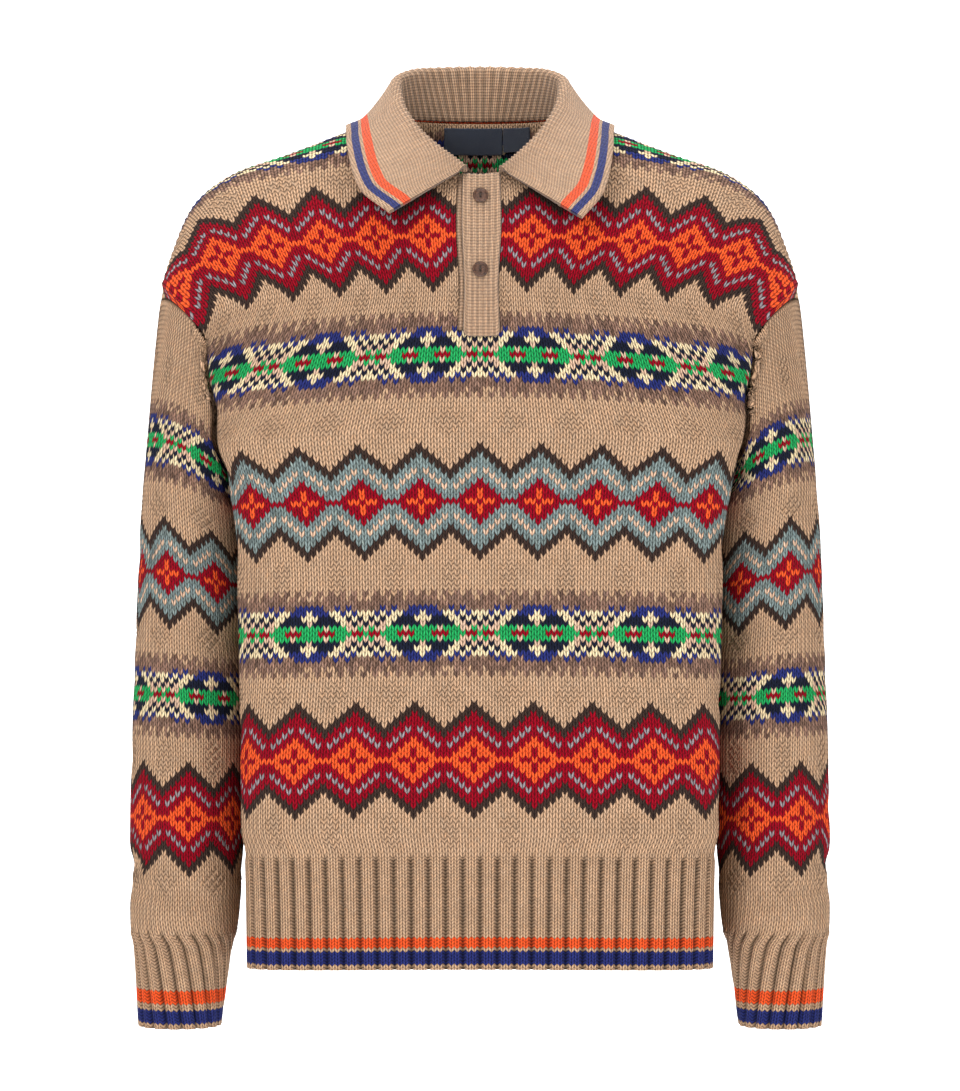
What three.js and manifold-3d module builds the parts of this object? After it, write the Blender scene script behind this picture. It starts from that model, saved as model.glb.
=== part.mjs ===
import * as THREE from "three";
import { mergeVertices } from "three/addons/utils/BufferGeometryUtils.js";
import Module from "manifold-3d";

// A knitted jumper with a polo collar and a half placket, in its worn form.
// Millimetres. +X is the wearer's left, -Y the front, +Z up. The origin is
// the middle of the neck's base, between the two shoulder points.

const WALL = 2.6;
const SEAM_GAP = 0.3;
const RIB_RAISE = 1.3;

// The flat cut of a body panel: stitches across, and heights from the hem.
const PANEL_WALES = 111;
const RIB_WALES = 3;
const WALE = 4.9;
const RIB_HEIGHT = 90;
const ARMPIT_HEIGHT = 423;
const CHEST_HEIGHT = 579;
const ARMHOLE_DEPTH = 240;
const NECK_HEIGHT = 708;
const NECK_WALES = 16.5;
const FRONT_NECK_DROP = 75;
const BACK_NECK_DROP = 20;
const HALF_PANEL = (PANEL_WALES * WALE) / 2;
const NECK_SHARE = (NECK_WALES * WALE) / HALF_PANEL;
const SHOULDER_HEIGHT = ARMPIT_HEIGHT + ARMHOLE_DEPTH;

// The placket's slot in the front, in wales from the middle.
const SLOT_LEFT = -4.5;
const SLOT_RIGHT = 1.5;
const SLOT_BOTTOM = 501;

const NECK = { half: 75, middleY: 6, front: -71, back: 62, sideZ: 21, frontZ: -33, backZ: 20 };
const SIDE_SEAM = { hemZ: -666.5, armpitZ: -230, y: 3 };
const EDGE_FALL_POWER = 12;
const TUCK = 0.3;

function table(columns, rows) {
  return rows.map((row) => Object.fromEntries(columns.map((name, i) => [name, row[i]])));
}

// One row a course: its height in the flat cut, its level at the middle, how
// far it stands out there, its squareness, its half width, where it is
// widest, how far it droops towards the sides, and the arc it turns through.
const COURSE = ["height", "level", "middle", "power", "width", "widest", "droop", "sweep"];
const FRONT_COURSES = table(COURSE, [
  [0, -661.5, -95, 3.0, 185, -42, 5, 90],
  [90, -571.5, -97, 3.0, 186.5, -45, 6, 90],
  [110, -551.5, -104, 3.0, 190, -51, 6, 90],
  [166, -495.5, -106, 3.0, 190.5, -52, 7, 90],
  [262, -399.5, -107, 3.0, 192, -52, 6, 90],
  [345, -316.5, -109, 3.0, 194, -53, 8, 90],
  [385, -276.5, -110, 3.0, 200, -55, 11, 90],
  [423, -238.5, -110, 2.9, 209, -57, 16, 90],
  [483, -178.5, -108, 2.8, 215, -61, 24, 90],
  [530, -131.5, -102, 2.5, 219, -66, 18, 80],
  [579, -83, -89, 2.2, 246, -36, 19, 72],
]);
const BACK_COURSES = table(COURSE, [
  [0, -671, 95, 3.0, 185, 44, 0, 90],
  [90, -580, 94, 3.0, 186.5, 44, 0, 90],
  [110, -560, 99, 3.0, 190, 48, 0, 90],
  [166, -503, 97, 3.0, 190, 48, 0, 90],
  [262, -405, 90, 3.0, 191, 46, 2, 90],
  [345, -320, 92, 2.9, 190, 46, 3, 90],
  [385, -280, 96, 2.8, 190, 46, 4, 90],
  [423, -241, 101, 2.7, 193, 48, 5, 90],
  [450, -214, 104, 2.7, 192, 40, 7, 78],
  [483, -181, 107, 2.6, 199, 66, 10, 62],
  [530, -133, 109, 2.5, 215, 90, 16, 58],
  [579, -84, 108, 2.4, 240.5, 98, 22, 60],
]);
const SEAM_WIDTHS = table(["height", "x"], [
  [0, 184], [90, 185], [110, 187], [166, 186], [262, 181], [345, 180], [385, 182], [423, 186],
]);

const ARMPIT = new THREE.Vector3(186, SIDE_SEAM.y, SIDE_SEAM.armpitZ);
const SHOULDER_TIP = new THREE.Vector3(262, 42, -128);
const ARMHOLES = {
  front: new THREE.CubicBezierCurve3(
    ARMPIT, new THREE.Vector3(182, -98, -200), new THREE.Vector3(246, -92, -118), SHOULDER_TIP),
  back: new THREE.CubicBezierCurve3(
    ARMPIT, new THREE.Vector3(192, 122, -205), new THREE.Vector3(252, 132, -122), SHOULDER_TIP),
};

// The shoulder seam runs from the neck to the top of the armhole, a little
// behind the shoulder's ridge. The pitches are the cloth's slope where each
// panel reaches its top edge.
const SHOULDER_SEAM = new THREE.CatmullRomCurve3([
  new THREE.Vector3(75, 6, 21),
  new THREE.Vector3(113, 12, 6.5),
  new THREE.Vector3(157, 20, -10),
  new THREE.Vector3(202, 27, -26),
  new THREE.Vector3(235, 33, -52),
  new THREE.Vector3(251, 38, -88),
  new THREE.Vector3(262, 42, -128),
]);
const PITCHES = table(["share", "front", "back"], [
  [0, 65, 72], [0.2, 55, 60], [0.3, 22, 26], [0.45, 2, 14], [0.7, -8, 16], [1, -4, 18],
]);

// Folds, one a row: where each lies, the way it runs, its size and its depth.
// A share is of the half panel, or of the sleeve's turn.
const FOLD = ["share", "height", "slant", "reach", "breadth", "depth"];
const FRONT_FOLDS = table(FOLD, [
  [0.78, 455, 190, 0.16, 13, 5],
  [0.66, 395, 150, 0.2, 15, 3],
  [-0.8, 450, -170, 0.15, 14, 5],
  [-0.68, 385, -160, 0.2, 15, 3.5],
  [0.45, 122, 20, 0.3, 9, 2.5],
  [-0.35, 128, -15, 0.32, 9, 2.5],
]);
const BACK_FOLDS = table(FOLD, [
  [0.76, 450, 190, 0.17, 14, 5],
  [-0.74, 445, -180, 0.17, 14, 5],
  [0.3, 130, 20, 0.4, 10, 3],
  [-0.4, 175, -25, 0.35, 12, 3],
]);

// The sleeve, one row a level: how far out, in, forward and back it reaches.
const SLEEVE_COLUMNS = ["z", "outer", "inner", "front", "back"];
const SLEEVE_LEVELS = table(SLEEVE_COLUMNS, [
  [-715, 275, 210, -42, 30],
  [-650, 279.5, 201, -44, 42],
  [-636, 282.5, 196.5, -48, 47],
  [-600, 283.5, 193.5, -44, 55],
  [-560, 284, 192, -39, 62],
  [-500, 283, 190, -37, 66],
  [-440, 281, 189, -41, 68],
  [-373, 278.3, 189, -46, 70],
  [-307, 275, 190, -54, 74],
  [-242, 270, 190, -60, 84],
  [-177, 265, 190, -64, 92],
  [-120, 258, 190, -66, 96],
]);
const CUFF_HEIGHT = 77;
const CUFF_RIBS = 16;
const SLEEVE_POWER = 2.15;
const SLEEVE_LEVELLING = 150;
const CAP_BLEND = 90;
const FRONT_TURN = 200;
const SLEEVE_CLEARANCE = 4.5;
const SLEEVE_FOLDS = table(FOLD, [
  [0.3, 108, 30, 0.16, 8, 5],
  [0.42, 132, -45, 0.15, 9, 4.5],
  [0.2, 150, 40, 0.13, 9, 4],
  [0.75, 118, 30, 0.2, 9, 4.5],
  [0.28, 268, 60, 0.15, 12, 4],
  [0.22, 330, 70, 0.15, 12, 3.5],
  [0.75, 300, -50, 0.2, 12, 3.5],
]);

// The collar, one row a station: its share of the way from its front end to
// the middle of the back, where it folds over, and where its fall ends.
const COLLAR_COLUMNS = ["share", "foldX", "foldY", "foldZ", "edgeX", "edgeY", "edgeZ"];
const COLLAR_STATIONS = {
  right: table(COLLAR_COLUMNS, [
    [0, -11, -77, -27, -71, -104, -67],
    [0.16, -27, -70, -15, -86, -88, -44],
    [0.34, -47, -55, 4, -99, -60, -18],
    [0.52, -61, -28, 28, -106, -24, -1],
    [0.68, -65, 6, 50, -106, 16, 8],
    [0.84, -45, 44, 63, -76, 66, 10],
    [1, 0, 60, 66, 0, 94, 6],
  ]),
  left: table(COLLAR_COLUMNS, [
    [0, 16, -77, -28, 80, -102, -71],
    [0.16, 30, -70, -16, 92, -86, -46],
    [0.34, 48, -55, 4, 101, -60, -19],
    [0.52, 61, -28, 28, 107, -24, -1],
    [0.68, 65, 6, 50, 107, 16, 8],
    [0.84, 45, 44, 63, 76, 66, 10],
    [1, 0, 60, 66, 0, 94, 6],
  ]),
};
const COLLAR_WALL = 3;
const COLLAR_ROLL = 4;
const COLLAR_REST = 2.4;
const PLACKET_REST = 4.6;
const PLACKET_REACH = 26;
const COLLAR_ENDS = { left: 16, right: -11 };

const PLACKET = { left: -14.2, right: 17.3, bottom: 497, wall: 2.6, lift: 0.5, corner: 5 };
const BUTTON = { radius: 6.2, thick: 3, dish: 0.9, rim: 1.3, hole: 0.9, spacing: 3.4, x: 0.3 };
const BUTTON_HEIGHTS = { button_upper: 610.5, button_lower: 549.5 };
const LABELS = table(["name", "left", "right", "drop", "low"], [
  ["neck_label", -32.5, 20.5, 3, 25],
  ["size_tab", 21.2, 45.6, 3, 23],
]);
const LABEL_WALL = 1;

const COLOURS = {
  cloth: 0xc2a07e, collar: 0xc4a382, placket: 0xbf9d7b, button: 0x4a2b1b, label: 0x1d2a44,
};

function blend(a, b, share) {
  return a + (b - a) * share;
}

// A smooth curve through one column of a table, without overshoot.
function columnAt(rows, key, name, value) {
  const last = rows.length - 1;
  let i = 0;
  while (i < last - 1 && value > rows[i + 1][key]) i += 1;
  const slope = (a, b) => (rows[b][name] - rows[a][name]) / (rows[b][key] - rows[a][key]);
  const tangent = (at) => {
    const before = slope(Math.max(at - 1, 0), Math.max(at, 1));
    const after = slope(Math.min(at, last - 1), Math.min(at + 1, last));
    return before * after <= 0 ? 0 : (2 * before * after) / (before + after);
  };
  const span = rows[i + 1][key] - rows[i][key];
  const t = THREE.MathUtils.clamp((value - rows[i][key]) / span, 0, 1);
  const rise = t * t * (3 - 2 * t);
  return blend(rows[i][name], rows[i + 1][name], rise)
    + tangent(i) * span * t * (1 - t) ** 2
    - tangent(i + 1) * span * t * t * (1 - t);
}

function rowAt(rows, key, value) {
  const names = Object.keys(rows[0]).filter((name) => name !== key);
  return Object.fromEntries(names.map((name) => [name, columnAt(rows, key, name, value)]));
}

// Body panels. u runs from -1 to 1 across a panel, and x follows its sign.
const PANELS = {
  front: { courses: FRONT_COURSES, neckDrop: FRONT_NECK_DROP, folds: FRONT_FOLDS, side: -1 },
  back: { courses: BACK_COURSES, neckDrop: BACK_NECK_DROP, folds: BACK_FOLDS, side: 1 },
};

function panelEdge(name, height) {
  if (height > ARMPIT_HEIGHT) {
    return ARMHOLES[name].getPointAt((height - ARMPIT_HEIGHT) / ARMHOLE_DEPTH);
  }
  const share = height / ARMPIT_HEIGHT;
  const z = blend(SIDE_SEAM.hemZ, SIDE_SEAM.armpitZ, share);
  return new THREE.Vector3(columnAt(SEAM_WIDTHS, "height", "x", height), SIDE_SEAM.y, z);
}

const SECTION_STEPS = 40;
const TUCK_STEPS = 10;

// Half of a course, from the middle of the panel to its side edge.
function halfSection(name, height) {
  const course = rowAt(PANELS[name].courses, "height", height);
  const edge = panelEdge(name, height);
  const path = [];
  const sweep = THREE.MathUtils.degToRad(course.sweep);
  const square = (v) => Math.max(v, 0) ** (2 / course.power);
  const rest = square(Math.cos(sweep));
  for (let i = 0; i <= SECTION_STEPS; i += 1) {
    const turn = (sweep * i) / SECTION_STEPS;
    const across = square(Math.sin(turn)) / square(Math.sin(sweep));
    const out = (square(Math.cos(turn)) - rest) / (1 - rest);
    path.push(new THREE.Vector2(course.width * across, blend(course.widest, course.middle, out)));
  }
  const corner = new THREE.Vector2(course.width, course.widest);
  const pull = new THREE.Vector2(course.width, blend(course.widest, edge.y, TUCK));
  const tuck = new THREE.QuadraticBezierCurve(corner, pull, new THREE.Vector2(edge.x, edge.y));
  path.push(...tuck.getPoints(TUCK_STEPS).slice(1));
  const lengths = [0];
  for (let i = 1; i < path.length; i += 1) {
    lengths.push(lengths[i - 1] + path[i].distanceTo(path[i - 1]));
  }
  return { course, edge, path, lengths };
}

const sections = new Map();

function sectionAt(name, height) {
  const key = `${name} ${height.toFixed(3)}`;
  if (!sections.has(key)) sections.set(key, halfSection(name, height));
  return sections.get(key);
}

function coursePoint(name, u, height) {
  const { course, edge, path, lengths } = sectionAt(name, height);
  const share = Math.abs(u);
  const goal = share * lengths[lengths.length - 1];
  let i = 1;
  while (i < lengths.length - 1 && lengths[i] < goal) i += 1;
  const within = (goal - lengths[i - 1]) / (lengths[i] - lengths[i - 1]);
  const at = path[i - 1].clone().lerp(path[i], within);
  const lift = edge.z - (course.level - course.droop);
  const z = course.level - course.droop * share ** 2 + lift * share ** EDGE_FALL_POWER;
  return new THREE.Vector3(Math.sign(u) * at.x, at.y, z);
}

function topHeight(name, u) {
  const share = Math.abs(u);
  if (share < NECK_SHARE) {
    const across = share / NECK_SHARE;
    return NECK_HEIGHT - PANELS[name].neckDrop * Math.sqrt(1 - across ** 2);
  }
  const along = (share - NECK_SHARE) / (1 - NECK_SHARE);
  return blend(NECK_HEIGHT, SHOULDER_HEIGHT, along);
}

function topPoint(name, u) {
  const share = Math.abs(u);
  const mirror = Math.sign(u) || 1;
  if (share >= NECK_SHARE) {
    const at = SHOULDER_SEAM.getPointAt(Math.min((share - NECK_SHARE) / (1 - NECK_SHARE), 1));
    return new THREE.Vector3(mirror * at.x, at.y, at.z);
  }
  const turn = Math.asin(share / NECK_SHARE);
  const front = name === "front";
  const y = blend(NECK.middleY, front ? NECK.front : NECK.back, Math.cos(turn));
  const z = blend(NECK.sideZ, front ? NECK.frontZ : NECK.backZ, Math.cos(turn));
  return new THREE.Vector3(mirror * NECK.half * Math.sin(turn), y, z);
}

function topSlope(name, u) {
  const share = Math.abs(u);
  const pitch = THREE.MathUtils.degToRad(columnAt(PITCHES, "share", name, share));
  const slope = new THREE.Vector3(0, -PANELS[name].side * Math.cos(pitch), Math.sin(pitch));
  const tip = ARMHOLES[name].getTangentAt(1);
  tip.x *= Math.sign(u) || 1;
  return slope.lerp(tip, share ** EDGE_FALL_POWER).normalize();
}

// Above the chest a panel's columns run on smoothly to its shaped top edge.
const SLOPE_STEP = 2;

function panelPoint(name, u, height) {
  if (height <= CHEST_HEIGHT) return coursePoint(name, u, height);
  const length = topHeight(name, u) - CHEST_HEIGHT;
  const t = (height - CHEST_HEIGHT) / length;
  const from = coursePoint(name, u, CHEST_HEIGHT);
  const rise = from.clone().sub(coursePoint(name, u, CHEST_HEIGHT - SLOPE_STEP));
  rise.multiplyScalar(length / SLOPE_STEP);
  const fall = topSlope(name, u).multiplyScalar(length);
  return from.multiplyScalar((1 + 2 * t) * (1 - t) ** 2)
    .addScaledVector(rise, t * (1 - t) ** 2)
    .addScaledVector(topPoint(name, u), t * t * (3 - 2 * t))
    .addScaledVector(fall, t * t * (t - 1));
}

// How deep the folds press the cloth in at a place.
function foldDepth(folds, share, height, turns) {
  let depth = 0;
  for (const fold of folds) {
    let off = share - fold.share;
    if (turns) off -= Math.round(off);
    const along = off / fold.reach;
    const across = (height - fold.height - fold.slant * off) / fold.breadth;
    depth += fold.depth * Math.exp(-along * along - across * across);
  }
  return depth;
}

// A sheet is rows of corners, each with its place, its key along the row and
// how far it is raised, and the triangles between the rows.
const SAME_KEY = 1e-9;

function zipRows(lower, upper, keep) {
  const faces = [];
  const middle = (lower[0].key + lower[lower.length - 1].key) / 2;
  let i = 0;
  let j = 0;
  const last = { lower: lower.length - 1, upper: upper.length - 1 };
  while (i < last.lower || j < last.upper) {
    const nextLower = i < last.lower ? lower[i + 1].key : Infinity;
    const nextUpper = j < last.upper ? upper[j + 1].key : Infinity;
    const level = Math.abs(nextLower - nextUpper) < SAME_KEY;
    const alongLower = level ? nextLower > middle + SAME_KEY : nextLower < nextUpper;
    const next = alongLower ? lower[i + 1] : upper[j + 1];
    const face = [lower[i], next, upper[j]];
    i += alongLower ? 1 : 0;
    j += alongLower ? 0 : 1;
    if (keep(face)) faces.push(face);
  }
  return faces;
}

// A closed sheet's rows come round to the corner they start from.
function makeSheet(rows, { closed = false, keep = () => true } = {}) {
  const faces = [];
  const whole = (row) => (closed ? [...row, { key: 1, of: row[0] }] : row);
  for (let i = 0; i + 1 < rows.length; i += 1) {
    for (const face of zipRows(whole(rows[i]), whole(rows[i + 1]), keep)) {
      faces.push(face.map((corner) => corner.of ?? corner));
    }
  }
  return { rows, faces };
}

function faceNormals(sheet) {
  const corners = sheet.rows.flat();
  for (const corner of corners) corner.normal = new THREE.Vector3();
  for (const [a, b, c] of sheet.faces) {
    const normal = b.place.clone().sub(a.place).cross(c.place.clone().sub(a.place));
    for (const corner of [a, b, c]) corner.normal.add(normal);
  }
  for (const corner of corners) corner.normal.normalize();
}

function pressFolds(sheet, depthAt) {
  faceNormals(sheet);
  for (const corner of sheet.rows.flat()) {
    corner.place.addScaledVector(corner.normal, -depthAt(corner));
  }
  faceNormals(sheet);
}

// Corners of different pieces that share a seam point share its normal too,
// so the walls meet edge to edge. Where they double back under the arm, the
// shared normal points down between them.
const PLACES_PER_MM = 50;

function weldNormals(sheets) {
  const seams = new Map();
  for (const corner of sheets.flatMap((sheet) => sheet.rows.flat())) {
    const key = corner.place.toArray().map((v) => Math.round(v * PLACES_PER_MM)).join(" ");
    if (!seams.has(key)) seams.set(key, []);
    seams.get(key).push(corner);
  }
  for (const corners of seams.values()) {
    const normal = new THREE.Vector3();
    for (const corner of corners) normal.add(corner.normal);
    if (corners.length > 1) normal.z -= Math.max(0, 1 - normal.length() / corners.length);
    for (const corner of corners) corner.normal = normal.clone().normalize();
  }
}

// The outer skin, the inner skin and the rim between their open edges.
function wallGeometry(sheet, outward, inward) {
  const ids = new Map();
  const positions = [];
  const push = (point) => {
    positions.push(point.x, point.y, point.z);
    return positions.length / 3 - 1;
  };
  for (const corner of new Set(sheet.faces.flat())) {
    const outer = corner.place.clone().addScaledVector(corner.normal, outward + (corner.raise ?? 0));
    const inner = corner.place.clone().addScaledVector(corner.normal, -inward);
    ids.set(corner, { outer: push(outer), inner: push(inner) });
  }
  const index = [];
  const edges = new Map();
  const names = new Map([...ids.keys()].map((corner, i) => [corner, i]));
  for (const face of sheet.faces) {
    index.push(...face.map((corner) => ids.get(corner).outer));
    index.push(...face.map((corner) => ids.get(corner).inner).reverse());
    for (let i = 0; i < 3; i += 1) {
      const from = face[i];
      const to = face[(i + 1) % 3];
      const back = `${names.get(to)} ${names.get(from)}`;
      if (edges.has(back)) edges.delete(back);
      else edges.set(`${names.get(from)} ${names.get(to)}`, [from, to]);
    }
  }
  for (const [from, to] of edges.values()) {
    const a = ids.get(from);
    const b = ids.get(to);
    index.push(b.outer, a.outer, a.inner, b.outer, a.inner, b.inner);
  }
  const geometry = new THREE.BufferGeometry();
  geometry.setAttribute("position", new THREE.Float32BufferAttribute(positions, 3));
  geometry.setIndex(index);
  return geometry;
}

// Panels in rows from the hem up. The ribbed hem has one column a wale, with
// its grooves at the rib's edges, and the cloth above one column a rib.
const HEM_ROWS = [0, 44, 84];
const PLACKET_ROW = 540;
const CLOTH_ROWS = [
  92, 104, 118, 166, 240, 310, 370, ARMPIT_HEIGHT, 450, 477, SLOT_BOTTOM, PLACKET_ROW,
];
const TOP_STEPS = 4;
const EXTRA_NECK_WALES = [12, 15];
const HEM_RIB = [
  { wale: 0, raise: 0 },
  { wale: 0.7, raise: RIB_RAISE },
  { wale: 2.3, raise: RIB_RAISE },
];

function ribKeys() {
  const keys = [];
  for (let start = 0; start < PANEL_WALES; start += RIB_WALES) {
    for (const { wale, raise } of HEM_RIB) {
      keys.push({ key: (2 * (start + wale)) / PANEL_WALES - 1, raise });
    }
  }
  keys.push({ key: 1, raise: 0 });
  return keys;
}

function clothKeys() {
  const keys = [];
  for (let wale = 0; wale <= PANEL_WALES; wale += RIB_WALES) {
    keys.push((2 * wale) / PANEL_WALES - 1);
  }
  for (const wale of EXTRA_NECK_WALES) {
    keys.push((2 * wale) / PANEL_WALES, (-2 * wale) / PANEL_WALES);
  }
  return keys.sort((a, b) => a - b);
}

function panelSheet(name) {
  const mirror = -PANELS[name].side;
  const corner = (key, height, raise = 0) => ({
    key, height, raise, place: panelPoint(name, mirror * key, height),
  });
  const rows = HEM_ROWS.map((height) => ribKeys().map(({ key, raise }) => corner(key, height, raise)));
  for (const height of CLOTH_ROWS) rows.push(clothKeys().map((key) => corner(key, height)));
  for (let step = 0; step <= TOP_STEPS; step += 1) {
    rows.push(clothKeys().map((key) => {
      return corner(key, blend(CHEST_HEIGHT, topHeight(name, key), step / TOP_STEPS));
    }));
  }
  const slot = { left: (2 * SLOT_LEFT) / PANEL_WALES, right: (2 * SLOT_RIGHT) / PANEL_WALES };
  const keep = (face) => {
    if (name === "back") return true;
    const key = (face[0].key + face[1].key + face[2].key) / 3;
    const low = Math.min(...face.map((at) => at.height));
    return low < SLOT_BOTTOM - 1 || key < slot.left || key > slot.right;
  };
  const sheet = makeSheet(rows, { keep });
  pressFolds(sheet, (at) => {
    const free = 1 - Math.abs(at.key) ** EDGE_FALL_POWER;
    return at.height < RIB_HEIGHT ? 0 : free * foldDepth(PANELS[name].folds, mirror * at.key, at.height);
  });
  return sheet;
}

const front = panelSheet("front");
const back = panelSheet("back");

// A place on a panel's facets, from the corners around it.
function onPanel(sheet, key, height) {
  const rowPlace = (row) => {
    let j = 1;
    while (j < row.length - 1 && row[j].key < key) j += 1;
    const t = (key - row[j - 1].key) / (row[j].key - row[j - 1].key);
    return {
      height: blend(row[j - 1].height, row[j].height, t),
      place: row[j - 1].place.clone().lerp(row[j].place, t),
      normal: row[j - 1].normal.clone().lerp(row[j].normal, t),
    };
  };
  let i = HEM_ROWS.length + 1;
  let upper = rowPlace(sheet.rows[i]);
  while (i < sheet.rows.length - 1 && upper.height < height) {
    i += 1;
    upper = rowPlace(sheet.rows[i]);
  }
  const lower = rowPlace(sheet.rows[i - 1]);
  const t = (height - lower.height) / (upper.height - lower.height);
  return {
    place: lower.place.lerp(upper.place, t),
    normal: lower.normal.lerp(upper.normal, t).normalize(),
  };
}

// Keeps a point clear of the body: it moves out from the nearest facet.
const CLEAR_PASSES = 5;
const CLEAR_RANGE = 60;
const bodyFacets = [...front.faces, ...back.faces].map((face) => {
  const facet = new THREE.Triangle(...face.map((corner) => corner.place));
  const middle = facet.getMidpoint(new THREE.Vector3());
  const normal = facet.getNormal(new THREE.Vector3());
  return { facet, middle, normal };
});

function keepClear(point, clearance) {
  const nearby = bodyFacets.filter(({ middle }) => middle.distanceTo(point) < CLEAR_RANGE);
  const seat = new THREE.Vector3();
  for (let pass = 0; pass < CLEAR_PASSES; pass += 1) {
    let best = { far: Infinity };
    for (const { facet, normal } of nearby) {
      facet.closestPointToPoint(point, seat);
      const far = seat.distanceTo(point);
      if (far < best.far) best = { far, normal, height: point.clone().sub(seat).dot(normal) };
    }
    if (best.far === Infinity || best.height >= clearance) return point;
    point.addScaledVector(best.normal, clearance - best.height);
  }
  return point;
}

// Sleeves. The top ring is the armhole, from the armpit round the front.
const SLEEVE_ROWS = [
  4, 12, 28, 48, 72, 100, 135, 175, 215, 255, 290, 325, 360, 395, 425, 450, 475, 497,
];
const SLEEVE_TOP = -121;
const SLEEVE_HEM = -715;

function armholeRing(side) {
  const edge = (sheet, key) => sheet.rows
    .map((row) => row.find((corner) => corner.key === key))
    .filter((corner) => corner.height >= ARMPIT_HEIGHT);
  const frontEdge = edge(front, side);
  const backEdge = edge(back, -side).reverse();
  const half = frontEdge.length - 1;
  const ring = [];
  for (let i = 0; i < half; i += 1) {
    ring.push({ place: frontEdge[i].place.clone(), turn: (FRONT_TURN * i) / half });
  }
  for (let i = 0; i < half; i += 1) {
    const turn = FRONT_TURN + ((360 - FRONT_TURN) * i) / half;
    ring.push({ place: backEdge[i].place.clone(), turn });
  }
  return ring;
}

function sleeveLevel(turn, z) {
  const level = rowAt(SLEEVE_LEVELS, "z", z);
  const angle = THREE.MathUtils.degToRad(180 + turn);
  const round = (v) => Math.sign(v) * Math.abs(v) ** (2 / SLEEVE_POWER);
  const middle = { x: (level.outer + level.inner) / 2, y: (level.front + level.back) / 2 };
  return new THREE.Vector3(
    middle.x + ((level.outer - level.inner) / 2) * round(Math.cos(angle)),
    middle.y + ((level.back - level.front) / 2) * round(Math.sin(angle)),
    z,
  );
}

function sleevePoint(start, drop, side) {
  const from = new THREE.Vector3(Math.abs(start.place.x), start.place.y, start.place.z);
  const levelling = Math.exp(-drop / SLEEVE_LEVELLING) * (1 - drop / (SLEEVE_TOP - SLEEVE_HEM));
  const z = SLEEVE_TOP - drop + (from.z - SLEEVE_TOP) * levelling;
  const hold = Math.exp(-((drop / CAP_BLEND) ** 2));
  const point = sleeveLevel(start.turn, z);
  const off = from.clone().sub(sleeveLevel(start.turn, from.z));
  point.x += off.x * hold;
  point.y += off.y * hold;
  point.x *= side;
  return point;
}

const CUFF_RIB = [
  { part: 0, raise: 0 },
  { part: 0.24, raise: RIB_RAISE },
  { part: 0.76, raise: RIB_RAISE },
];

function cuffKeys() {
  const keys = [];
  for (let rib = 0; rib < CUFF_RIBS; rib += 1) {
    for (const { part, raise } of CUFF_RIB) keys.push({ key: (rib + part) / CUFF_RIBS, raise });
  }
  return keys;
}

// A sleeve leaves the seam close to the body and stands clear of it below.
const SEAM_CLEARANCE = 1.5;
const CLEARANCE_GAIN = 0.5;
const SEAM_HOLD = 40;

function sleeveSheet(side) {
  const ring = armholeRing(side);
  const count = ring.length;
  const length = SLEEVE_TOP - SLEEVE_HEM;
  const rows = [];
  rows.push(ring.map((start, i) => ({ key: i / count, drop: 0, place: start.place.clone() })));
  for (const drop of SLEEVE_ROWS) {
    rows.push(ring.map((start, i) => {
      const place = sleevePoint(start, drop, side);
      keepClear(place, Math.min(SLEEVE_CLEARANCE, SEAM_CLEARANCE + CLEARANCE_GAIN * drop));
      return { key: i / count, drop, place };
    }));
  }
  for (const drop of [length - CUFF_HEIGHT, length - CUFF_HEIGHT / 2, length]) {
    rows.push(cuffKeys().map(({ key, raise }) => {
      const turn = key * 360;
      const start = { turn, place: ring[Math.floor(key * count)].place };
      return { key, drop, raise, place: sleevePoint(start, drop, side) };
    }));
  }
  rows.reverse();
  if (side < 0) {
    for (const row of rows) {
      const [first, ...rest] = row;
      row.splice(0, row.length, first, ...rest.reverse());
      for (const corner of row) corner.key = corner.key === 0 ? 0 : 1 - corner.key;
    }
  }
  const sheet = makeSheet(rows, { closed: true });
  pressFolds(sheet, (at) => {
    const above = length - at.drop;
    const share = side < 0 ? 1 - at.key : at.key;
    const free = above < CUFF_HEIGHT ? 0 : 1 - Math.exp(-((at.drop / SEAM_HOLD) ** 2));
    return free * foldDepth(SLEEVE_FOLDS, share, above, true);
  });
  return sheet;
}

const sleeveLeft = sleeveSheet(1);
const sleeveRight = sleeveSheet(-1);

weldNormals([front, back, sleeveLeft, sleeveRight]);

// Each seam edge steps back into its own piece, a panel's by half the gap and a sleeve's by more.
const PANEL_STEP = 0.2;
const SLEEVE_STEP = 0.6;

function openSeams(sheet, edges, step) {
  const moves = [];
  for (const [edge, inside] of edges) {
    for (let i = 0; i < edge.length; i += 1) {
      const towards = inside[i].place.clone().sub(edge[i].place).normalize();
      moves.push([edge[i], towards.multiplyScalar(step)]);
    }
  }
  for (const [corner, move] of moves) corner.place.add(move);
}

function panelEdges(sheet) {
  const rows = sheet.rows;
  return [
    [rows.map((row) => row[0]), rows.map((row) => row[1])],
    [rows.map((row) => row[row.length - 1]), rows.map((row) => row[row.length - 2])],
    [rows[rows.length - 1], rows[rows.length - 2]],
  ];
}

const neckline = [
  ...front.rows[front.rows.length - 1].filter((corner) => Math.abs(corner.key) <= NECK_SHARE + 1e-6),
  ...back.rows[back.rows.length - 1].filter((corner) => Math.abs(corner.key) < NECK_SHARE - 1e-6),
].map((corner) => ({ place: corner.place.clone(), normal: corner.normal.clone() }));

openSeams(front, panelEdges(front), PANEL_STEP);
openSeams(back, panelEdges(back), PANEL_STEP);
for (const sleeve of [sleeveLeft, sleeveRight]) {
  const rows = sleeve.rows;
  openSeams(sleeve, [[rows[rows.length - 1], rows[rows.length - 2]]], SLEEVE_STEP);
}

// Collar. Its stations follow the neckline's corners from each front end to
// the middle of the back.
const STATION_SPACING = 16;
const AT_END = 1;
const AT_MIDDLE = 0.01;

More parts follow.
